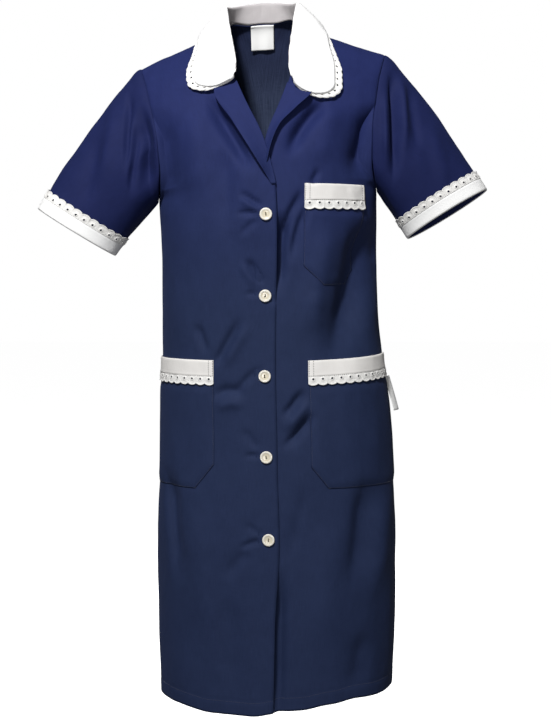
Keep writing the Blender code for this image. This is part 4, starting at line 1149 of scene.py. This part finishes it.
def sleeve_curve(row, share, s):
    """Points along the sleeve's outer face at one place around it: s is 0 at the armhole."""
    side, end_x, end_y, end_z, half_width, half_depth, lean, look = row
    lean, look = math.radians(lean), math.radians(look)
    axis = np.array([side * math.sin(lean), 0.0, -math.cos(lean)])
    wide = np.array([side * math.cos(lean), 0.0, math.sin(lean)])
    deep = np.array([0.0, -math.cos(look), 0.0]) - axis * math.sin(look)
    angle = share * 2 * math.pi
    start = body_point(side * 1.0, armhole(share))
    stop = (np.array([end_x, end_y, end_z]) + wide * half_width * math.cos(angle)
            + deep * half_depth * math.sin(angle))
    top = (1 + math.cos(angle)) / 2
    leave = unit(np.array([side * (0.62 + 0.16 * top), -0.18 * math.sin(angle), -0.78 + 0.10 * top]))
    reach = np.linalg.norm(stop - start)
    s = np.asarray(s, float)[..., None]
    return (start * (1 + 2 * s) * (1 - s) ** 2 + stop * s * s * (3 - 2 * s)
            + leave * reach * SLEEVE_HEAD * s * (1 - s) ** 2 - axis * reach * SLEEVE_FALL * s * s * (1 - s))


def make_sleeve(row):
    """A sleeve, its cuff and the lace above the cuff."""
    side = row[0]
    name, count = side_name(side), round(0.40 / SLEEVE_STEP)
    sleeve_cloth = "sleeve_" + name + "_cloth"

    def rings(from_end):
        """Rings at distances from the open end, or at less than 0 for shares of the length."""
        fine = np.linspace(0.0, 1.0, 161)
        columns = []
        for share in np.arange(count) / count:
            length = lengths(sleeve_curve(row, share, fine))
            places = np.where(from_end < 0, (1.0 + from_end) * length[-1], length[-1] - from_end)
            columns.append(sleeve_curve(row, share, np.interp(places, length, fine)))
        grid = np.array(columns).transpose(1, 0, 2)[:, ::-side]
        return grid, grid_normals(grid[::-1], closed=True)[::-1]

    shares = np.linspace(0.0, 0.985, round(PANEL_HALF / SLEEVE_STEP)) - 1.0
    grid, normals = rings(np.append(shares, 0.0012))
    from_armhole = lengths(grid)
    top = np.cos(np.arange(count) / count * 2 * math.pi)[None, ::-side]
    eased = 0.0016 * smooth((top - 0.1) / 0.6) * bell(from_armhole - 0.010, 0.012)
    folds = [creases("sleeve_" + name + face, grid) * smooth(toward * normals[..., 1] / 0.5)
             for face, toward in ((" front", -1), (" back", 1))]
    out = ((folds[0] + folds[1] + ripples(grid)) * smooth(from_armhole / 0.02) + eased
           + seam_dip(from_armhole, 0.0007, 0.0018))
    grid = grid + normals * out[..., None]
    allowance = grid[0] - unit(grid[1] - grid[0]) * 0.0035 - normals[0] * 0.0022
    shell = np.concatenate([allowance[None], grid])[::-1]
    cloth(sleeve_cloth, [shell], "sleeve_" + name, "navy_cloth", (NAVY_SLEEVE_PAINTED_SHADE,), CLOTH_WALL, closed=True,
          flat=(0.43, 0.25), held="hung", rests_on=["front_" + name + "_cloth", "back_cloth"], area=0.085)

    band, normals = rings(np.linspace(CUFF_BAND, 0.0, CUFF_ROWS))
    up = np.linspace(0.0, 1.0, CUFF_ROWS)[:, None] * CUFF_BAND
    out = CUFF_LIFT - rounding(np.minimum(up, CUFF_BAND - up), 0.0020) + ripples(band) * 0.6
    out = out + 0.0003 * bell(up - 0.0020, 0.0012)
    shell = (band + normals * out[..., None])[::-1]
    cloth("cuff_" + name + "_cloth", [shell], "cuff_" + name, "white_cloth", (WHITE,), DOUBLE_WALL + 0.0004,
          closed=True, flat=(0.37, 0.023), held="laid", rests_on=[sleeve_cloth])
    line = line_across(shell, 0.0014, from_last=True, closed=True)
    stitching("cuff_" + name + "_stitches", [line], "white_cloth", WHITE_THREAD)

    strip, normals = rings(np.linspace(CUFF_BAND + CUFF_LACE, CUFF_BAND - 0.001, 6))
    strip = strip + normals * (CUFF_LIFT + ripples(strip) * 0.6)[..., None]
    lace_name = "cuff_lace_" + name
    lace(lace_name + "_strip", lace_name, strip[::-1], sleeve_cloth, hangs=False, closed=True)


# --- buttons
def button_mesh():
    """A flat round button with a raised rim, a shallow dish and two holes."""
    half = BUTTON_THICK / 2
    profile = ((0.0, half - BUTTON_DISH), (0.0040, half - BUTTON_DISH), (0.0058, half - BUTTON_DISH * 0.75),
               (0.0068, half - BUTTON_DISH * 0.2), (0.0075, half), (0.0086, half), (0.0093, half - 0.0005),
               (BUTTON_RADIUS, half - 0.0012), (0.0093, -half + 0.0006), (0.0084, -half), (0.0, -half))
    sides, row = 64, len(profile) - 2
    points, faces = [], []
    for k in range(sides):
        angle = 2 * math.pi * k / sides
        points += [(r * math.cos(angle), r * math.sin(angle), z) for r, z in profile[1:-1]]
    top, bottom = len(points), len(points) + 1
    points += [(0.0, 0.0, profile[0][1]), (0.0, 0.0, profile[-1][1])]
    for k in range(sides):
        n = (k + 1) % sides
        faces.append((top, k * row, n * row))
        faces += [(k * row + r, k * row + r + 1, n * row + r + 1, n * row + r) for r in range(row - 1)]
        faces.append((bottom, n * row + row - 1, k * row + row - 1))
    blank = new_object("button_blank", points, faces)
    for sign in (-1, 1):
        bpy.ops.mesh.primitive_cylinder_add(vertices=20, radius=BUTTON_HOLE, depth=BUTTON_THICK * 2,
                                            location=(0.0, sign * BUTTON_HOLES_APART / 2, 0.0))
        cutter = bpy.context.object
        blank.modifiers.new("hole", "BOOLEAN").object = cutter
        bpy.context.view_layer.update()
        made = bpy.data.meshes.new_from_object(blank.evaluated_get(bpy.context.evaluated_depsgraph_get()))
        blank.modifiers.clear()
        blank.data = made
        bpy.data.objects.remove(cutter, do_unlink=True)
    bpy.data.objects.remove(blank, do_unlink=True)
    return made


def thread_mesh():
    """The sewing thread: a few strands that cross from one hole to the other."""
    sides, steps, radius = 8, 8, 0.00036
    points, faces = [], []
    for aside in (-0.00050, 0.0, 0.00050):
        first = len(points)
        for step in range(steps + 1):
            t = step / steps * 2 - 1
            y = t * (BUTTON_HOLES_APART / 2 + 0.0002)
            dive = 0.0012 * max(0.0, abs(t) - 0.8) / 0.2
            z = BUTTON_THICK / 2 - BUTTON_DISH + 0.0006 * (1 - t ** 4) - dive
            for k in range(sides):
                angle = 2 * math.pi * k / sides
                points.append((aside + radius * math.cos(angle), y, z + radius * math.sin(angle)))
        faces += tube_faces(first, first + steps * sides, sides)
    mesh = bpy.data.meshes.new("button_thread")
    mesh.from_pydata(points, [], faces)
    return mesh


def make_buttons():
    shape, thread = button_mesh(), thread_mesh()
    for number, (level, tilt) in enumerate(zip(BUTTON_LEVELS, BUTTON_TILTS), 1):
        v = find(0.0, level)[1]
        out = Vector(body_normal(0.0, v))
        place = Vector(front_surface(-1, 0.0, v, 0.0006)[0]) + out * BUTTON_THICK / 2
        turn = out.to_track_quat("Z", "Y").to_matrix().to_4x4()
        turn = turn @ Matrix.Rotation(math.radians(tilt), 4, "Z")
        name = "button_%d" % number
        parts = (("_resin", shape, RESIN, name), ("_thread", thread, BUTTON_THREAD, None))
        for kind, mesh, material, node in parts:
            piece = bpy.data.objects.new(name + kind, mesh.copy())
            bpy.context.scene.collection.objects.link(piece)
            piece.matrix_world = Matrix.Translation(place) @ turn
            piece.data.materials.clear()
            finish_piece(piece, node, "button", material)
        bpy.data.objects[name + "_resin"].data.set_sharp_from_angle(angle=math.radians(50))


# --- labels
def make_neck_label():
    width, height = NECK_LABEL
    z = np.linspace(NECK_LABEL_TOP - height, NECK_LABEL_TOP, 24)[:, None]
    x = np.linspace(width / 2, -width / 2, 22)[None, :] + 0 * z
    around, v = find(x, np.minimum(z, NECK_LABEL_FREE), "back", top=V_NECK)
    base = body_point(around, v)
    base[..., 2] += z - np.minimum(z, NECK_LABEL_FREE)
    hang = smooth((NECK_LABEL_TOP - z) / height)
    inset = NECK_LABEL_INSET + 0.0030 * hang + 0.0008 * np.sin(x * 260.0) * hang - ripples(base)
    grid = base - body_normal(around, v) * inset[..., None]
    cloth("neck_label_ribbon", [grid], "neck_label", "label", (SATIN,), LABEL_WALL, flat=NECK_LABEL,
          held="hung", rests_on=["back_cloth"])
    inside = 0.0012
    lines = [line_down(grid, inside), line_down(grid, inside, from_last=True), line_across(grid, inside)]
    stitching("neck_label_stitches", lines, "label", WHITE_THREAD, length=0.0016, gap=0.0006,
              radius=0.00014)


def make_side_label():
    width, height = SIDE_LABEL
    share, k = np.linspace(0.0, 1.0, 20), np.linspace(0.0, 1.0, 12)
    around, v = find(np.ones_like(share), SIDE_LABEL_TOP - height * (1.0 - share), as_around=True)
    seam, out = body_point(around, v), body_normal(around, v)
    back = seam - body_point(around - 0.04, v)
    back = unit(back - out * np.sum(back * out, axis=-1, keepdims=True))
    for number, opened in enumerate(LABEL_LEAVES, 1):
        curl = 0.0018 * np.sin(k * math.pi) * (1 + 0.4 * opened)
        outward = 0.0004 + (0.12 + 0.14 * opened) * width * k + curl
        rearward = 0.0014 - 0.0006 * number + (0.95 - 0.10 * opened) * width * k
        grid = (seam[:, None] + out[:, None] * outward[None, :, None]
                + back[:, None] * rearward[None, :, None])
        grid = grid + out[:, None] * ((0.0090 - 0.0012 * opened) * (1.0 - share))[:, None, None]
        node = "side_label" if number == 1 else None
        cloth("side_label_leaf_%d" % number, [grid], node, "label", (SATIN,), LABEL_WALL, flat=SIDE_LABEL,
              held="hung", rests_on=["back_cloth"])


# --- stage
def placed(name, data, location, rotation):
    thing = bpy.data.objects.new(name, data)
    thing.location, thing.rotation_euler = location, rotation
    bpy.context.scene.collection.objects.link(thing)
    return thing


def make_stage():
    bpy.ops.mesh.primitive_plane_add(size=30.0, location=(0.0, 0.0, FLOOR))
    floor = bpy.context.object
    floor.name = "floor"
    floor.data.materials.append(plain("floor_pale", (0.86, 0.86, 0.86), 0.9))
    floor.visible_diffuse = floor.visible_glossy = False
    scene = bpy.context.scene
    lens = bpy.data.cameras.new("camera")
    lens.lens, lens.sensor_width = CAMERA_LENS, 36.0
    tilt = math.radians(90.0) - math.atan(CAMERA_DROP)
    scene.camera = placed("camera", lens, CAMERA, (tilt, 0.0, 0.0))
    scene.world = bpy.data.worlds.new("studio")
    scene.world.use_nodes = True
    tree = scene.world.node_tree
    background = tree.nodes["Background"]
    background.inputs["Color"].default_value = (1.0, 1.0, 1.0, 1.0)
    seen, strength = tree.nodes.new("ShaderNodeLightPath"), tree.nodes.new("ShaderNodeMapRange")
    strength.inputs["To Min"].default_value = WORLD_LIGHT
    strength.inputs["To Max"].default_value = 1.0
    tree.links.new(seen.outputs["Is Camera Ray"], strength.inputs["Value"])
    tree.links.new(strength.outputs["Result"], background.inputs["Strength"])
    scene.view_settings.view_transform = "Standard"
    for name, place, aim, size, power in LIGHTS:
        lamp = bpy.data.lights.new(name, "AREA")
        lamp.energy, lamp.size = power, size
        placed(name, lamp, place, (Vector(aim) - Vector(place)).to_track_quat("-Z", "Y").to_euler())


make_stage()
make_front(-1)
make_front(1)
make_back()
make_lapel(-1, LAPEL_RIGHT, 0.0115, flat=(0.085, 0.165), area=0.0062)
make_lapel(1, LAPEL_LEFT, 0.0100, flat=(0.060, 0.150), area=0.0045)
make_sleeve(SLEEVE_RIGHT)
make_sleeve(SLEEVE_LEFT)
make_collar()
make_pocket("chest_pocket", 1, CHEST_POCKET, CHEST_BAND)
make_pocket("hip_pocket_left", 1, HIP_POCKET_LEFT, HIP_BAND_LEFT)
make_pocket("hip_pocket_right", -1, HIP_POCKET_RIGHT, HIP_BAND_RIGHT)
make_buttons()
make_neck_label()
make_side_label()
